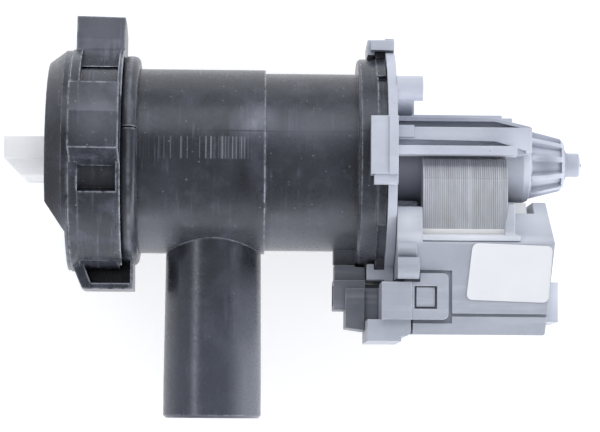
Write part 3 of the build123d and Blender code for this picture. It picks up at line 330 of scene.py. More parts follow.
def window(tree, value, start, full, fade=None, end=None):
    """Mask along one axis, in mm: 0 at start, 1 from full on, and back from fade to 0 at end."""
    opened = add(tree, "ShaderNodeMapRange", _0=value, _1=start * MM, _2=full * MM).outputs[0]
    if end is None:
        return opened
    closed = add(tree, "ShaderNodeMapRange", _0=value, _1=end * MM, _2=fade * MM).outputs[0]
    return times(tree, opened, closed)


print("specks 4.76 mm apart:", per_metre(4.76), "a metre")

# %% [markdown]
# A finish is laid in coats, as bloom, dust and dirt lie on a real surface; some coats are
# painted light and painted shade. Masks say how much of a coat each point gets, from 0 to 1, and
# are multiplied where all of them have to agree. A spot is a coat whose mask is a soft ellipsoid
# in the part's own millimetres.

# %% Coats and spots
def coat(tree, under, over, *masks):
    """Colour under * (1 - m) + over * m, with m the product of the masks; links or hex colours."""
    under, over = (linear(c) if isinstance(c, str) else c for c in (under, over))
    return add(tree, "ShaderNodeMix", {"data_type": "RGBA"}, Factor=times(tree, *masks),
               _6=under, _7=over).outputs[2]


def patch(tree, where, centre_mm, radii_mm):
    """Soft oval spot: 1 at its centre and 0 from the ellipsoid with these radii outwards."""
    moved = add(tree, "ShaderNodeVectorMath", {"operation": "SUBTRACT"}, _0=where,
                _1=tuple(c * MM for c in centre_mm))
    scaled = add(tree, "ShaderNodeVectorMath", {"operation": "DIVIDE"}, _0=moved.outputs[0],
                 _1=tuple(r * MM for r in radii_mm))
    far = add(tree, "ShaderNodeVectorMath", {"operation": "LENGTH"}, _0=scaled.outputs[0])
    return add(tree, "ShaderNodeMapRange", _0=far.outputs["Value"], _1=1.0, _2=0.0).outputs[0]


# Spots carry stains as well as painted light and painted shade.
def stains_and_painted_light(tree, where, colour, spots):
    """Colour with soft spots, each given as its centre and radii in mm, its share and its tone."""
    for centre_mm, radii_mm, share, tone in spots:
        colour = coat(tree, colour, tone, patch(tree, where, centre_mm, radii_mm), share)
    return colour


print("a grey coat #808080 reflects", round(linear("#808080")[0], 3), "of the light")

# %% [markdown]
# The housing and the ring are polypropylene filled with chalk and soot, injection moulded in a
# spark-eroded mould. The skin is satin with a faint pebble, it mirrors soft light, and it shows
# every rub: clouds of pale bloom, dust, fine strokes round the tube and a rubbed line on each
# proud edge. Inner corners get painted shade in deep black.

# %% Black moulded polypropylene
ROUND_THE_TUBE = (1.0, 0.05, 0.05)


def black_polypropylene(name, deep, pale, rough, strokes=0.25, bloomed=0.35):
    """Soot-black satin skin; gives the material, its nodes, shader, coordinates and colour."""
    made, tree, shader = finish(name, rough, Specular_Tint=linear("#F4F6FF"))
    where = add(tree, "ShaderNodeTexCoord").outputs["Object"]
    proud, open_sky = worn(tree, 1.3)
    colour = coat(tree, deep, pale, clouds(tree, where, 18.2, 0.35, 0.65, 5.0))
    colour = coat(tree, colour, "#5A5E69", clouds(tree, where, 7.14, 0.5, 0.72, 4.0), bloomed)
    colour = coat(tree, colour, "#7A8090", clouds(tree, where, 11.1, 0.45, 0.65), strokes,
                  clouds(tree, where, 1.111, 0.56, 0.66, 2.0, ROUND_THE_TUBE))
    colour = coat(tree, colour, "#AAAFB9", proud, clouds(tree, where, 2.63, 0.34, 0.58), 0.9)
    dust = add(tree, "ShaderNodeMath", {"operation": "MAXIMUM"},
               _0=specks(tree, where, 4.76, 0.06, 0.30),
               _1=specks(tree, where, 1.923, 0.15, 0.26)).outputs[0]
    colour = coat(tree, colour, "#B4B7BE", dust, open_sky, 0.42)
    # Painted shade: where there is little open sky, inner corners are painted deep black.
    corner = add(tree, "ShaderNodeMapRange", _0=open_sky, _1=0.8, _2=0.0).outputs[0]
    colour = coat(tree, colour, "#101114", corner, 0.55)
    uneven_skin(tree, shader, where, rounded(tree, 0.45), rough, 0.06, 1.111, 0.004)
    return made, tree, shader, where, colour


print("the black skin reflects", round(linear("#27292E")[1], 3), "and a rubbed edge",
      round(linear("#AAAFB9")[1], 2), "of the light")

# %% [markdown]
# The ring is handled most, so it has more bloom and strokes. The near lug and the upper one are
# painted paler as painted light, it has painted shade round the lower one, and its bead has a
# painted highlight along the crest.

# %% Finish of the ring
CREST_X = (19.5, 20.2, 20.5, 21.2)
black_ring, tree, shader, where, colour = black_polypropylene(
    "black_polypropylene_moulded_ring", "#27292E", "#3A3D44", 0.30, strokes=0.45,
    bloomed=0.65)
# Painted light on the near and upper lugs, painted shade round the lower lug.
colour = stains_and_painted_light(tree, where, colour, [
    ((10, 9, 46), (12, 9, 10), 0.8, "#66696F"),
    ((10, 43, 8), (13, 13, 26), 0.7, "#666A74"),
    ((11, -33, 30), (9, 7, 12), 0.4, "#17181D")])
x = add(tree, "ShaderNodeSeparateXYZ", Vector=where).outputs[0]
# Painted highlight: a pale band along the bead's crest.
colour = coat(tree, colour, "#A4A8B0", window(tree, x, *CREST_X),
              clouds(tree, where, 8.33, 0.35, 0.6), 0.35)
tree.links.new(colour, shader.inputs["Base Color"])
print("black finish:", black_ring.name)

# %% [markdown]
# The tube has marks of its own. Stacked parts have rubbed a band of short strokes beside its
# crown, denser towards the step. A pale cloud and a dark patch lie by the step, and the
# mould's parting seam runs above them.

# %% Marks beside the tube's crown
STROKE_MM = 0.8696
BAND_Y = (-1.9, -1.4, 5.3, 5.7)
SPARSE_X, DENSE_X = (20, 48, 58.5, 59.5), (44, 50, 58.5, 59.5)
SEAM_Y, SEAM_X = (7.1, 7.3, 7.5, 7.7), (38, 50)
black_housing, tree, shader, where, colour = black_polypropylene(
    "black_polypropylene_moulded_tube", "#27292E", "#373A41", 0.29)
x, y, z = add(tree, "ShaderNodeSeparateXYZ", Vector=where).outputs[:3]
seen_side = add(tree, "ShaderNodeMath", {"operation": "GREATER_THAN"}, _0=z, _1=0.0).outputs[0]
band = times(tree, seen_side, window(tree, y, *BAND_Y))
stroke = add(tree, "ShaderNodeTexNoise", {"noise_dimensions": "1D"}, W=x,
             Scale=per_metre(STROKE_MM), Detail=2.0).outputs[0]
for low, high, reach_x, share, tone in ((0.58, 0.66, SPARSE_X, 0.5, "#9CA0A8"),
                                        (0.46, 0.56, DENSE_X, 0.3, "#8E929A")):
    scratched = add(tree, "ShaderNodeMapRange", _0=stroke, _1=low, _2=high).outputs[0]
    colour = coat(tree, colour, tone, scratched, band, window(tree, x, *reach_x), share)
speckle = clouds(tree, where, 3.125, 0.2, 0.7, 4.0, (1.0, 0.3, 0.3))
colour = coat(tree, colour, "#9094A0", patch(tree, where, (60, 10.5, 28), (9, 8, 12)), speckle,
              0.8)
colour = coat(tree, colour, "#17181C", window(tree, y, *SEAM_Y),
              window(tree, x, *SEAM_X), seen_side, 0.7)
colour = stains_and_painted_light(tree, where, colour, [((78, 7, 29), (16, 9, 14), 0.3, "#7B7F88"),
                                       ((57, -7, 29), (5, 9, 12), 0.75, "#14151A")])
print("marks on:", black_housing.name, "with", per_metre(STROKE_MM), "strokes a metre")

# %% [markdown]
# The inlet spigot is darker at its root and painted paler towards its end, as painted shade of
# the tube. Its side towards the motor is painted paler as painted light, and the tube's low flanks
# on both sides of it carry a painted reflection of the sheet. The nose of the hood is painted deep
# black as painted shade.

# %% Spigot, flanks and nose
SPIGOT_X, SPIGOT_Y = (30, 37, 60, 66), (-36, -66)
LOW_FLANK_REFLECTION_Y = (-17, -27, -30, -34)
LIT_SIDE_X, LIT_SIDE_Y = (52, 60), (-34, -44)
# Painted shade: the spigot is painted darker towards its root by the tube.
colour = coat(tree, colour, "#5C616E", window(tree, y, *SPIGOT_Y), 0.32)
# Painted reflection of the sheet on the tube's low flanks beside the spigot.
beside = add(tree, "ShaderNodeMath", {"operation": "SUBTRACT"}, _0=1.0,
             _1=window(tree, x, *SPIGOT_X)).outputs[0]
colour = coat(tree, colour, "#74777F", window(tree, y, *LOW_FLANK_REFLECTION_Y), seen_side, beside, 0.7)
# Painted light on the spigot's side towards the motor.
colour = coat(tree, colour, "#74777F", window(tree, x, *LIT_SIDE_X), window(tree, y, *LIT_SIDE_Y), 0.6)
# Painted shade on the nose of the hood, in deep black.
colour = stains_and_painted_light(tree, where, colour, [((-4, -12, 30), (5, 30, 24), 0.8, "#131418")])
tree.links.new(colour, shader.inputs["Base Color"])
print("tube finish:", len(tree.nodes), "nodes")

# %% [markdown]
# The motor's mouldings are polyester with glass fibre, pale grey with a touch of blue. The fibre
# makes the skin slightly cloudy and silky, and light goes a little way into it.

# %% Grey moulded polyester
ALONG_THE_FLOW = (0.12, 1.0, 1.0)


def grey_polyester(name, deep, pale, rough, crease_shade="#5F6472", spots=()):
    """Pale grey silk skin: clouds, weld streaks, pale edges, specks, painted crease shade and
    spots.
    """
    made, tree, shader = finish(name, rough, Subsurface_Weight=0.12,
                                Subsurface_Scale=0.8 * MM, Subsurface_Radius=EVEN)
    where = add(tree, "ShaderNodeTexCoord").outputs["Object"]
    proud, open_sky = worn(tree, 0.45)
    colour = coat(tree, deep, pale, clouds(tree, where, 12.5, 0.35, 0.65, 5.0))
    colour = coat(tree, colour, "#E6E9F0",
                  clouds(tree, where, 3.33, 0.55, 0.7, 2.0, ALONG_THE_FLOW), 0.12)
    colour = coat(tree, colour, "#E8EBF2", proud, clouds(tree, where, 3.33, 0.3, 0.6), 0.45)
    colour = coat(tree, colour, "#7B7E86", specks(tree, where, 3.85, 0.10, 0.22), 0.35)
    # Painted shade: where there is little open sky, creases are painted darker.
    corner = add(tree, "ShaderNodeMapRange", _0=open_sky, _1=0.7, _2=0.0).outputs[0]
    colour = coat(tree, colour, crease_shade, corner, 0.32)
    tree.links.new(stains_and_painted_light(tree, where, colour, spots), shader.inputs["Base Color"])
    uneven_skin(tree, shader, where, rounded(tree, 0.35), rough, 0.05, 0.769, 0.006)
    return made


print("a weld streak is", round(1 / ALONG_THE_FLOW[0], 1), "times as long as it is wide")

# %% [markdown]
# The plate and hood are a lighter batch than the coil housing and its cover. The socket is the
# same grey painted darker, as painted shade. Spots of painted light and painted shade lie on each.

# %% Three greys
PAINTED_LIGHT, PAINTED_SHADE = "#E9ECF3", "#6C7282"
# Spots of painted light on the cup and shelf, painted shade on the hood's roof and the drum.
grey_frame = grey_polyester("grey_glass_polyester_plate", "#BCC0CB", "#C8CCD7", 0.42, spots=[
    ((110, -4, 20), (9, 13, 16), 1.0, PAINTED_LIGHT),
    ((146, -2, 24), (9, 12, 16), 0.5, PAINTED_LIGHT),
    ((120, 7.5, 21), (20, 4, 7), 0.8, PAINTED_LIGHT),
    ((122, 14.4, 16), (22, 4.6, 12), 1.0, PAINTED_SHADE),
    ((155.5, -1, 12), (5, 5, 8), 0.9, PAINTED_SHADE),
    ((164, -1, 3), (6, 8, 8), 0.35, PAINTED_SHADE)])
# Spots of painted light on the coil housing's gusset, end, knuckle and a band below its lip.
grey_coil = grey_polyester("grey_glass_polyester_coil_box", "#A6AAB4", "#B1B5BF", 0.42, spots=[
    ((151, -18, 24), (15, 10, 40), 0.6, PAINTED_LIGHT),
    ((159, -42, 15), (5, 16, 40), 1.0, PAINTED_LIGHT),
    ((109, -21, 31), (8, 10, 9), 0.6, PAINTED_LIGHT),
    ((130, -26, 31.2), (34, 2.4, 5), 0.9, PAINTED_LIGHT)])
# The socket is the same grey polyester, painted darker as painted shade under the tube.
grey_socket_painted_shade = grey_polyester("grey_polyester_socket_painted_shade", "#6F737B", "#7E828B", 0.42,
                             crease_shade="#34373E")
print("grey finishes:", grey_frame.name, grey_coil.name, grey_socket_painted_shade.name)

# %% [markdown]
# The bobbins, wire guide, impeller and dog are natural nylon: a warm white that light enters a
# little. The filter cap is natural polypropylene, milky like a bottle cap, and more light goes
# into it, so its edges glow. Both get subsurface scattering with a depth in real millimetres.

# %% White nylon and milky polypropylene
def light_plastic(name, deep, pale, rough, depth_mm, share):
    """Translucent plastic: share of the light scatters in it, depth_mm deep; faint flow lines."""
    made, tree, shader = finish(name, rough, Subsurface_Weight=share,
                                Subsurface_Scale=depth_mm * MM, Subsurface_Radius=EVEN)
    where = add(tree, "ShaderNodeTexCoord").outputs["Object"]
    colour = coat(tree, deep, pale, noise(tree, where, 6.25))
    colour = coat(tree, colour, deep,
                  clouds(tree, where, 3.85, 0.5, 0.75, 2.0, (0.2, 1.0, 1.0)), 0.3)
    tree.links.new(colour, shader.inputs["Base Color"])
    uneven_skin(tree, shader, where, rounded(tree, 0.4), rough, 0.04, 0.7143, 0.008)
    return made


white_nylon = light_plastic("natural_nylon_moulded", "#F4F4F2", "#FBFBFA", 0.42, 1.2, 0.25)
milky = light_plastic("milky_polypropylene_moulded", "#FCFCFD", "#FEFEFF", 0.30, 22.0, 1.0)
print("white finishes:", white_nylon.name, milky.name)

# %% [markdown]
# Seals are moulded nitrile rubber, dull and almost black. The label is polyester film, which is
# smooth and slightly glossy over its glue, so its face waves by a few hundredths. The tape is
# woven from glass yarn and shows its half-millimetre mesh. A wave texture of scale 1 has 20 / tau
# bands in a metre, which gives its scale.

# %% Rubber, label film and tape
THREAD_MM = 0.507
rubber, tree, shader = finish("nitrile_rubber_moulded", 0.62, Specular_IOR_Level=0.4)
where = add(tree, "ShaderNodeTexCoord").outputs["Object"]
tree.links.new(coat(tree, "#1E1E20", "#2E2E31", noise(tree, where, 2.5, fading=0.5)),
               shader.inputs["Base Color"])

film, tree, shader = finish("white_polyester_film_label", 0.34)
where = add(tree, "ShaderNodeTexCoord").outputs["Object"]
tree.links.new(coat(tree, "#E3E4E7", "#EDEEF0", noise(tree, where, 11.1, 4.0, fading=0.5)),
               shader.inputs["Base Color"])
glue = add(tree, "ShaderNodeBump", Height=noise(tree, where, 5.56, 2.0, fading=0.5),
           Strength=0.2, Distance=0.1 * MM)
tree.links.new(glue.outputs[0], shader.inputs["Normal"])

tape, tree, shader = finish("woven_glass_tape", 0.55)
where = add(tree, "ShaderNodeTexCoord").outputs["Object"]
mesh_scale = round(tau / 20 / (THREAD_MM * MM))
cloth = times(tree, *(add(tree, "ShaderNodeTexWave", {"bands_direction": axis}, Vector=where,
                          Scale=mesh_scale).outputs[0] for axis in "XY"))
tree.links.new(coat(tree, "#F4F4F1", "#FDFDFC", cloth), shader.inputs["Base Color"])
weave = add(tree, "ShaderNodeBump", Height=cloth, Strength=0.3, Distance=0.05 * MM)
tree.links.new(weave.outputs[0], shader.inputs["Normal"])
print("film, tape and rubber:", film.name, tape.name, rubber.name)

# %% [markdown]
# Metals. The shaft is a ground bar, bright, with fine lines drawn out along it. The bushes are
# pressed from bronze powder and hold oil, which makes them dull and freckled. The blades are
# plated with tin, bright and cool. The magnet is ferrite, a dark ceramic that isn't a metal to
# the eye. The wire's enamel lies over copper like a clear varnish. A metal keeps the default IOR.

# %% Metals and ferrite
def metal(name, dark, light, roughness, grain_mm, stretch=EVEN, metallic=1.0):
    """Metal with a fine grain drawn out along one axis, in colour and in roughness."""
    made, tree, shader = finish(name, roughness, Metallic=metallic)
    where = add(tree, "ShaderNodeTexCoord").outputs["Object"]
    grain = noise(tree, where, grain_mm, 3.0, stretch, fading=0.5)
    tree.links.new(coat(tree, dark, light, grain), shader.inputs["Base Color"])
    gloss = add(tree, "ShaderNodeMapRange", _0=grain, _3=roughness - 0.08, _4=roughness + 0.12)
    tree.links.new(gloss.outputs[0], shader.inputs["Roughness"])
    return made


ground_steel = metal("ground_steel_bar", "#8E8F92", "#B4B5B8", 0.22, 1.111, (0.05, 1.0, 1.0))
bronze = metal("oiled_sintered_bronze", "#7C5C3A", "#A07C52", 0.50, 0.6667)
tinned = metal("tin_plated_brass", "#A9A9A6", "#CFCFCC", 0.28, 1.4286, (0.2, 1.0, 1.0))
ferrite = metal("sintered_ferrite", "#29292B", "#39393C", 0.55, 1.25, metallic=0.0)
copper = metal("enamelled_copper_wire", "#8E4A26", "#B86A3A", 0.30, 1.667, metallic=0.9)
print("metals:", ground_steel.name, bronze.name, tinned.name, ferrite.name, copper.name)

# %% [markdown]
# The core's sheets are punched silicon steel. Each has a value of its own, carried by the mesh:
# some lie a little proud and catch more light. Their torn edges and grey oxide are far from as
# bright as bare steel, so the metal share is a quarter.

# %% Punched sheet steel
sheet_steel, tree, shader = finish("punched_silicon_steel_sheet", 0.42, Metallic=0.25)
where = add(tree, "ShaderNodeTexCoord").outputs["Object"]
own_tone = add(tree, "ShaderNodeAttribute", {"attribute_name": "sheet_tone"}).outputs["Fac"]
torn = noise(tree, where, 1.4286, 3.0, (1.0, 0.2, 0.2))
brightness = add(tree, "ShaderNodeMath", {"operation": "MULTIPLY_ADD"}, _0=torn, _1=0.3,
                 _2=own_tone).outputs[0]
colour = coat(tree, "#55565B", "#E2E5EA", brightness)
colour = coat(tree, colour, "#A49C92", clouds(tree, where, 6.25, 0.5, 0.75, 4.0), 0.14)
tree.links.new(colour, shader.inputs["Base Color"])
print("steel:", sheet_steel.name)

# %% [markdown]
# Every node that comes from the CAD model takes the finish of its slot. The tube has its own
# marked black, the coil housing and its cover a darker grey, and the connector's shell the grey
# painted darker as painted shade.

# %% Finishes on the CAD nodes
of_slot = {
    "black_moulding": black_ring, "grey_moulding": grey_frame, "white_moulding": white_nylon,
    "milky_moulding": milky, "sheet_steel": sheet_steel, "ground_steel": ground_steel,
    "ferrite": ferrite, "sintered_bronze": bronze, "copper_wire": copper,
    "plated_brass": tinned, "seal_rubber": rubber, "label_film": film,
}
of_node = {"pump_housing": black_housing, "coil_housing": grey_coil,
           "terminal_cover": grey_coil, "connector_shell": grey_socket_painted_shade}
for name, node in nodes.items():
    node.data.materials.clear()
    node.data.materials.append(of_node.get(name, of_slot[slot_of[name]]))
print("nodes with a finish:", len(nodes))

# %% [markdown]
# New pieces are surfaces worked out with numpy: a grid of points as a function of two
# parameters. One function turns such a grid into a mesh. The grid is closed round its first
# parameter, and it can be closed along the second or have its ends capped.

# %% Grid to mesh
def skin(name, grid, loop_v=False, caps=False):
    """Mesh of a grid of points P[u, v]: a quad joins each point to its next in u and in v."""
    count_u, count_v = grid.shape[:2]
    number = np.arange(count_u * count_v).reshape(count_u, count_v)
    number = np.concatenate([number, number[:1]], axis=0)
    if loop_v:
        number = np.concatenate([number, number[:, :1]], axis=1)
    quads = np.stack([number[:-1, :-1], number[1:, :-1], number[1:, 1:], number[:-1, 1:]], -1)
    faces = quads.reshape(-1, 4).tolist()
    if caps:
        faces.append(number[:count_u, 0].tolist())
        faces.append(number[:count_u, -1][::-1].tolist())
    mesh = bpy.data.meshes.new(name)
    mesh.from_pydata((grid.reshape(-1, 3) * MM).tolist(), [], faces)
    mesh.update()
    return mesh


def new_piece(name, mesh, material, body, smooth_angle=None):
    """Link the mesh, with outward normals, as a piece that rides on the body."""
    shape = bmesh.new()
    shape.from_mesh(mesh)
    bmesh.ops.recalc_face_normals(shape, faces=shape.faces)
    shape.to_mesh(mesh)
    shape.free()
    if smooth_angle is not None:
        mesh.shade_smooth()
        mesh.set_sharp_from_angle(angle=radians(smooth_angle))
    mesh.materials.append(material)
    made = bpy.data.objects.new(name, mesh)
    bpy.context.scene.collection.objects.link(made)
    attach(made, body)
    return made


def piece(name, mesh, material, stands_for, smooth_angle=None):
    """Link the mesh as a piece that rides on its CAD node's body and stands for that node."""
    made = new_piece(name, mesh, material, body_of[stands_for],
                     smooth_angle)
    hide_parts(stands_for)


# %% [markdown]
# Most pieces are one outline carried along an axis. Its corners are softened, it is moved inwards
# by a depth that changes on the way, and the way itself becomes the third coordinate.

# %% Outlines and the way they are carried
def round_corners(points, radius, steps):
    """Each corner becomes a quadratic curve: (1-t)^2 a + 2t(1-t) corner + t^2 b."""
    back = np.roll(points, 1, axis=0) - points
    on = np.roll(points, -1, axis=0) - points
    back_length = np.linalg.norm(back, axis=1, keepdims=True)
    on_length = np.linalg.norm(on, axis=1, keepdims=True)
    a = points + back / back_length * np.minimum(radius, back_length * 0.45)
    b = points + on / on_length * np.minimum(radius, on_length * 0.45)
    t = np.linspace(0, 1, steps)[None, :, None]
    curve = (1 - t) ** 2 * a[:, None] + 2 * t * (1 - t) * points[:, None] + t ** 2 * b[:, None]
    return curve.reshape(-1, 2)


def drawn_in(points, depth):
    """One outline for each depth d: P + d n, with n the unit vector into it, square to it."""
    along = np.roll(points, -1, axis=0) - np.roll(points, 1, axis=0)
    area = np.sum(points[:, 0] * np.roll(points[:, 1], -1) - points[:, 1]
                  * np.roll(points[:, 0], -1))
    square = np.stack([-along[:, 1], along[:, 0]], 1) * np.sign(area)
    into = square / np.linalg.norm(square, axis=1, keepdims=True)
    return points[:, None, :] + into[:, None, :] * depth[None, :, None]


def carried(outlines, way, axis):
    """Grid of 3-D points: the outlines' two coordinates, with the way put in as this axis."""
    third = np.broadcast_to(way[None, :, None], outlines.shape[:2] + (1,))
    return np.insert(outlines, [axis], third, axis=2)


def oblong_in(low, high, inset, radius):
    """Rounded oblong round a box as seen along y, moved in from its sides by inset."""
    (x0, z0), (x1, z1) = low[[0, 2]] + inset, high[[0, 2]] - inset
    return round_corners(np.array([(x0, z0), (x1, z0), (x1, z1), (x0, z1)]), radius, 9)


print("a softened oblong has", len(oblong_in(np.zeros(3), np.ones(3), 0.0, 0.1)), "points")

# %% [markdown]
# The core is a pack of punched steel sheets. From outside one sees their edges, with a thin dark
# line between two. A stack of forty plates would be heavy, so the pack is one skin: the sheet's
# outline is carried along the shaft, and at each joint it dips inwards a little. Each sheet also
# stands a few hundredths proud or shy, as loose sheets do.

# %% Outline of one steel sheet
SHEET_PITCH = 0.68
YOKE, SHOULDER_Y, ARM_FOOT_Y = 9.5, -7.1, -0.1
GAP_HALF, ARM_HALF = 13.5, 19.2
low, high = (np.array(c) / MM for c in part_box("stator_core"))
sheet_count = round((high[0] - low[0]) / SHEET_PITCH)
pitch = (high[0] - low[0]) / sheet_count
inner_y, flank = low[1] + YOKE, high[2]
half = np.array([
    (inner_y, 0.0), (inner_y, GAP_HALF), (high[1], GAP_HALF), (high[1], ARM_HALF),
    (ARM_FOOT_Y, ARM_HALF), (ARM_FOOT_Y, flank - 4.0), (SHOULDER_Y * 0.4, flank - 1.4),
    (SHOULDER_Y, flank), (low[1], flank),
])
outline = np.concatenate([half, half[:0:-1] * (1, -1)])
outline = round_corners(outline, 0.5, 4)
print("sheets:", sheet_count, "pitch", round(pitch, 3), "mm, outline of", len(outline), "points")

# %% [markdown]
# One sheet gives four points on the way along the shaft and the joint behind it two more. The
# sheets' tones are drawn at random once, from a fixed seed. One sheet shines where the pack is
# welded, the joints are dark, and so is the arms' slope, which faces away from the light.

# %% Pack of steel sheets
JOINT, JOINT_DEPTH, EASE = 0.13, 0.35, 0.06
WELD_X, WELD_TONE = 129.2, 0.14
JOINT_TONE, SLOPE_TONE = -0.34, -0.21
rng = np.random.default_rng(7)
proud = np.clip(rng.normal(0.03, 0.025, sheet_count), 0.0, 0.09)
tone = rng.uniform(0.52, 0.62, sheet_count)
front = low[0] + pitch * np.arange(sheet_count)
back = front + pitch
starts, stops = front + JOINT / 2, back - JOINT / 2
joint = np.full(sheet_count, JOINT_DEPTH)
along = np.stack([starts, starts + EASE, stops - EASE, stops, stops, back + JOINT / 2],
                 1).ravel()[:-2]
dip = np.stack([proud + EASE, proud, proud, proud + EASE, joint, joint], 1).ravel()[:-2]
mesh = skin("sheet_steel_pack", carried(drawn_in(outline, dip), along, 0), caps=True)

step = np.arange(len(along))
tone[np.abs(front + pitch / 2 - WELD_X) < 0.8] += WELD_TONE
sloping = (outline[:, 0] > SHOULDER_Y) & (np.abs(outline[:, 1]) > ARM_HALF + 0.1)
tone_at = (np.where(sloping, SLOPE_TONE, 0.0)[:, None]
           + (tone[step // 6] + JOINT_TONE * (step % 6 > 3))[None, :])
attribute = mesh.attributes.new("sheet_tone", "FLOAT", "POINT")
attribute.data.foreach_set("value", tone_at.ravel().astype(np.float32))
piece("sheet_steel_pack", mesh, sheet_steel, "stator_core")
print("pack:", len(mesh.polygons), "faces, tones", np.round([tone.min(), tone.max()], 2))

# %% [markdown]
# The windings are enamelled copper wire in tidy layers. Only their outer layer can be seen, so it
# is a skin too: a rounded oblong carried up the bobbin, with one small ridge for each turn. Real
# wire of 0.2 mm would be too fine to show, so a ridge stands for two turns.

# %% Copper windings
RIDGE, WOUND_CORNER, END_DIP = 0.42, 2.4, 0.3
for name in ("winding_near", "winding_far"):
    low, high = (np.array(c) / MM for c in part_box(name))
    turns = int((high[1] - low[1]) / RIDGE)
    t = np.linspace(0, turns, turns * 6 + 1)
    press = 0.10 + 0.10 * (1 - np.abs(np.sin(pi * t))) + 0.05 * np.sin(t * 0.9) ** 2
    press[[0, -1]] += END_DIP
    wound = drawn_in(oblong_in(low, high, 0.0, WOUND_CORNER), press)
    grid = carried(wound, low[1] + (high[1] - low[1]) * t / turns, 1)
    piece("copper_" + name, skin("copper_" + name, grid, caps=True), copper, name)
    print("copper_" + name, turns, "ridges")

# %% [markdown]
# Two details close the gap between the bobbins and the coil housing. White tape runs round each
# bobbin from its upper flange to the first turns, to keep dust out. A rounded lip on the
# housing's edge stands over it, so that only a narrow white strip stays in sight.

# %% Tape on the bobbins
FLANGE, TAPE_WIDTH = 1.52, 3.4
TAPE_INSET, TAPE_CORNER = 0.25, 2.2
for name in ("near", "far"):
    low, high = (np.array(c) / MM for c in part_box("bobbin_" + name))
    t = np.linspace(0, 1, 13)
    slack = 0.12 + 0.10 * np.sin(pi * t) + 0.03 * np.sin(5 * pi * t)
    band = drawn_in(oblong_in(low, high, TAPE_INSET, TAPE_CORNER), slack)
    mesh = skin("insulating_tape", carried(band, high[1] - FLANGE - TAPE_WIDTH * t, 1))
    new_piece("insulating_tape_" + name, mesh, tape, "pump", smooth_angle=40)
    print("tape of", len(mesh.polygons), "faces on the", name, "bobbin")

# %% [markdown]
# The lip is a rounded bar on each of the housing's two faces. It bows by a few hundredths, as a
# thin moulded edge does when it cools.

# %% Lips of the coil housing
LIP_X, LIP_Y = (113.6, 144.9), (-27.1, -25.2)
LIP_DEEP, LIP_PROUD, LIP_BOW = 1.9, 0.05, 0.04
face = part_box("blank_label")[0][2] / MM
for name, way in (("housing_lip_near", 1), ("housing_lip_far", -1)):
    inside, outside = way * (face - LIP_DEEP), way * (face + LIP_PROUD)
    section = round_corners(np.array([(LIP_Y[0], inside), (LIP_Y[1], inside),
                                      (LIP_Y[1], outside), (LIP_Y[0], outside)]), 0.3, 6)
    t = np.linspace(0, 1, 9)
    bow = LIP_BOW * np.sin(pi * t)
    bar = section[:, None, :] - np.stack([bow, 0 * bow], 1)[None]
    grid = carried(bar, LIP_X[0] + (LIP_X[1] - LIP_X[0]) * t, 0)
    new_piece(name, skin(name, grid, caps=True), grey_coil, "pump",
              smooth_angle=40)
print("housing face at z =", round(float(face), 2), "mm")

# %% [markdown]
# Small webs tie the motor's mouldings together, and no daylight falls through between them. A
# web is moulded with draft: it is widest in the mould's parting plane and narrows a little to
# both its faces. The coil housing's cheeks are such forms too. They lean over the core's rear
# edge, which is why the core looks narrower at its foot.

# %% Webs and cheeks
WEB_DRAFT, WEB_CORNER, FACE_EDGE = 0.05, 0.4, 0.15
cheek = [(139.8, -25.4), (143.2, -25.4), (143.2, -15.4), (141.1, -15.4), (139.9, -22.4)]
cup_foot = [(104.5, -16.8), (113.9, -16.8), (113.9, -12.6), (104.5, -12.2)]
cover_end = [(95.0, -43.6), (102.4, -43.6), (102.4, -40.0), (95.0, -40.0)]
socket_end = [(91.6, -36.2), (97.4, -36.2), (97.4, -32.6), (91.6, -32.4)]


def web(name, corners, low_z, high_z, material):
    """Outline at heights z, moved inwards by the draft times its distance from mid height."""
    height = np.linspace(low_z, high_z, 9)
    inset = WEB_DRAFT * np.abs(height - height.mean())
    inset[[0, -1]] += FACE_EDGE
    outline = round_corners(np.array(corners, float), WEB_CORNER, 5)
    grid = carried(drawn_in(outline, inset), height, 2)
    new_piece(name, skin(name, grid, caps=True), material, "pump",
              smooth_angle=40)
    print(name, "is", round(high_z - low_z, 2), "mm high")


web("housing_cheek_near", cheek, face - LIP_DEEP, face + LIP_PROUD, grey_coil)
web("housing_cheek_far", cheek, -face - LIP_PROUD, -face + LIP_DEEP, grey_coil)
web("cup_web", cup_foot, -9.0, 9.0, grey_frame)
web("cover_web", cover_end, -4.0, 5.0, grey_socket_painted_shade)
web("socket_web", socket_end, -12.0, -3.0, grey_socket_painted_shade)

# %% [markdown]
# Two forms of the black ring are rounder than a turned profile. The bead behind its lugs is half
# round, so that it carries one long highlight, and it is open where the ring's ends meet. Its
# front foot stands higher, beside the ring's rim.

# %% Bead of the ring
BEAD_MIDDLE, BEAD_HALF, BEAD_POWER = 20.42, 2.56, 2.3
BEAD_FOOT, BEAD_FRONT_FOOT, BEAD_TOP = 31.9, 33.65, 34.35
BEAD_INSIDE, BEAD_BACK_X, BEAD_FRONT_X = 31.0, 22.9, 17.9
OPEN_AT, OPEN_HALF = 13.4, 0.42
s = np.linspace(-1, 1, 25)
bulge = (1 - np.abs(s) ** BEAD_POWER) ** (1 / BEAD_POWER)
foot = np.where(s < 0, BEAD_FRONT_FOOT, BEAD_FOOT)
across = np.concatenate([BEAD_MIDDLE + BEAD_HALF * s, [BEAD_BACK_X, BEAD_FRONT_X]])
radius = np.concatenate([foot + (BEAD_TOP - foot) * bulge, [BEAD_INSIDE, BEAD_INSIDE]])
turn = np.radians(np.linspace(OPEN_AT + OPEN_HALF, OPEN_AT + 360 - OPEN_HALF, 241))
grid = np.stack([np.broadcast_to(across[:, None], (len(across), len(turn))),
                 radius[:, None] * np.sin(turn), radius[:, None] * np.cos(turn)], 2)
new_piece("ring_bead", skin("ring_bead", grid, caps=True), black_ring, "pump",
          smooth_angle=50)
print("bead radius:", round(float(radius.max()), 2), "mm")

# %% [markdown]
# The upper lug runs down to the ring's channel in a curved web, steep at the lug and flat at the
# channel. The curve is a power of the way down, and three points close the outline behind it.

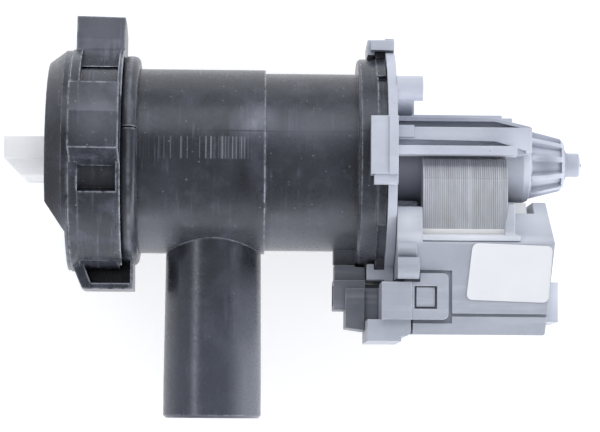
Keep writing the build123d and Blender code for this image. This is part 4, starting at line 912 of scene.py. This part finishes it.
# %% Web of the upper lug
WEB_TOP_Y, WEB_FALL = 37.6, 8.6
WEB_TOP_Z, WEB_RISE, WEB_POWER = 3.1, 13.1, 1.6
LUG_WEB_X = (4.2, 16.6)
t = np.linspace(0, 1, 17)
curve = np.stack([WEB_TOP_Y - WEB_FALL * t, WEB_TOP_Z + WEB_RISE * t ** WEB_POWER], 1)
outline = round_corners(np.concatenate([curve, [(29.0, 14.2), (31.2, 7.0), (34.0, 1.0)]]), 0.3, 3)
run = np.linspace(*LUG_WEB_X, 9)
grid = carried(np.repeat(outline[:, None], len(run), axis=1), run, 0)
new_piece("lug_web", skin("lug_web", grid, caps=True), black_ring, "pump",
          smooth_angle=40)
print("lug web of", len(outline), "points")

# %% [markdown]
# The label is a thin film with rounded corners. It isn't printed here. It lies a little askew on
# the coil housing, hugs the face in its middle and lifts by a fifth of a millimetre at two
# corners, which throws the fine shadow that tells it from paint.

# %% Bare label
FILM, GLUE = 0.09, 0.10
RIM_LIFT, CORNER_LIFT, CORNER_FROM = 0.10, 0.28, 0.45
low, high = (np.array(c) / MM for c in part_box("blank_label"))
corners = np.array([(low[0], low[1] + 0.8), (low[0] + 2.1, high[1]),
                    (high[0], high[1] - 0.8), (high[0] - 1.5, low[1])])
rim = round_corners(corners, 2.2, 10)
shares = np.array([1e-3, 0.3, 0.55, 0.75, 0.88, 0.95, 0.985, 1.0])
hub = corners.mean(0)
flat = hub + (rim[:, None, :] - hub) * shares[None, :, None]
spread = (flat - hub) / (high[:2] - low[:2]) * 2
lift = RIM_LIFT * shares[None, :] ** 6 + CORNER_LIFT * np.clip(
    -spread[..., 1] * np.abs(spread[..., 0]) - CORNER_FROM, 0, 1)
top_face = np.concatenate([flat, (high[2] - GLUE + lift)[..., None]], 2)
grid = np.concatenate([top_face, top_face[:, ::-1] - (0, 0, FILM)], 1)
piece("bare_label_film", skin("bare_label_film", grid, loop_v=True), film, "blank_label",
      smooth_angle=40)
print("label:", np.round(high - low, 2), "mm, lift", round(float(lift.max()), 2), "mm")
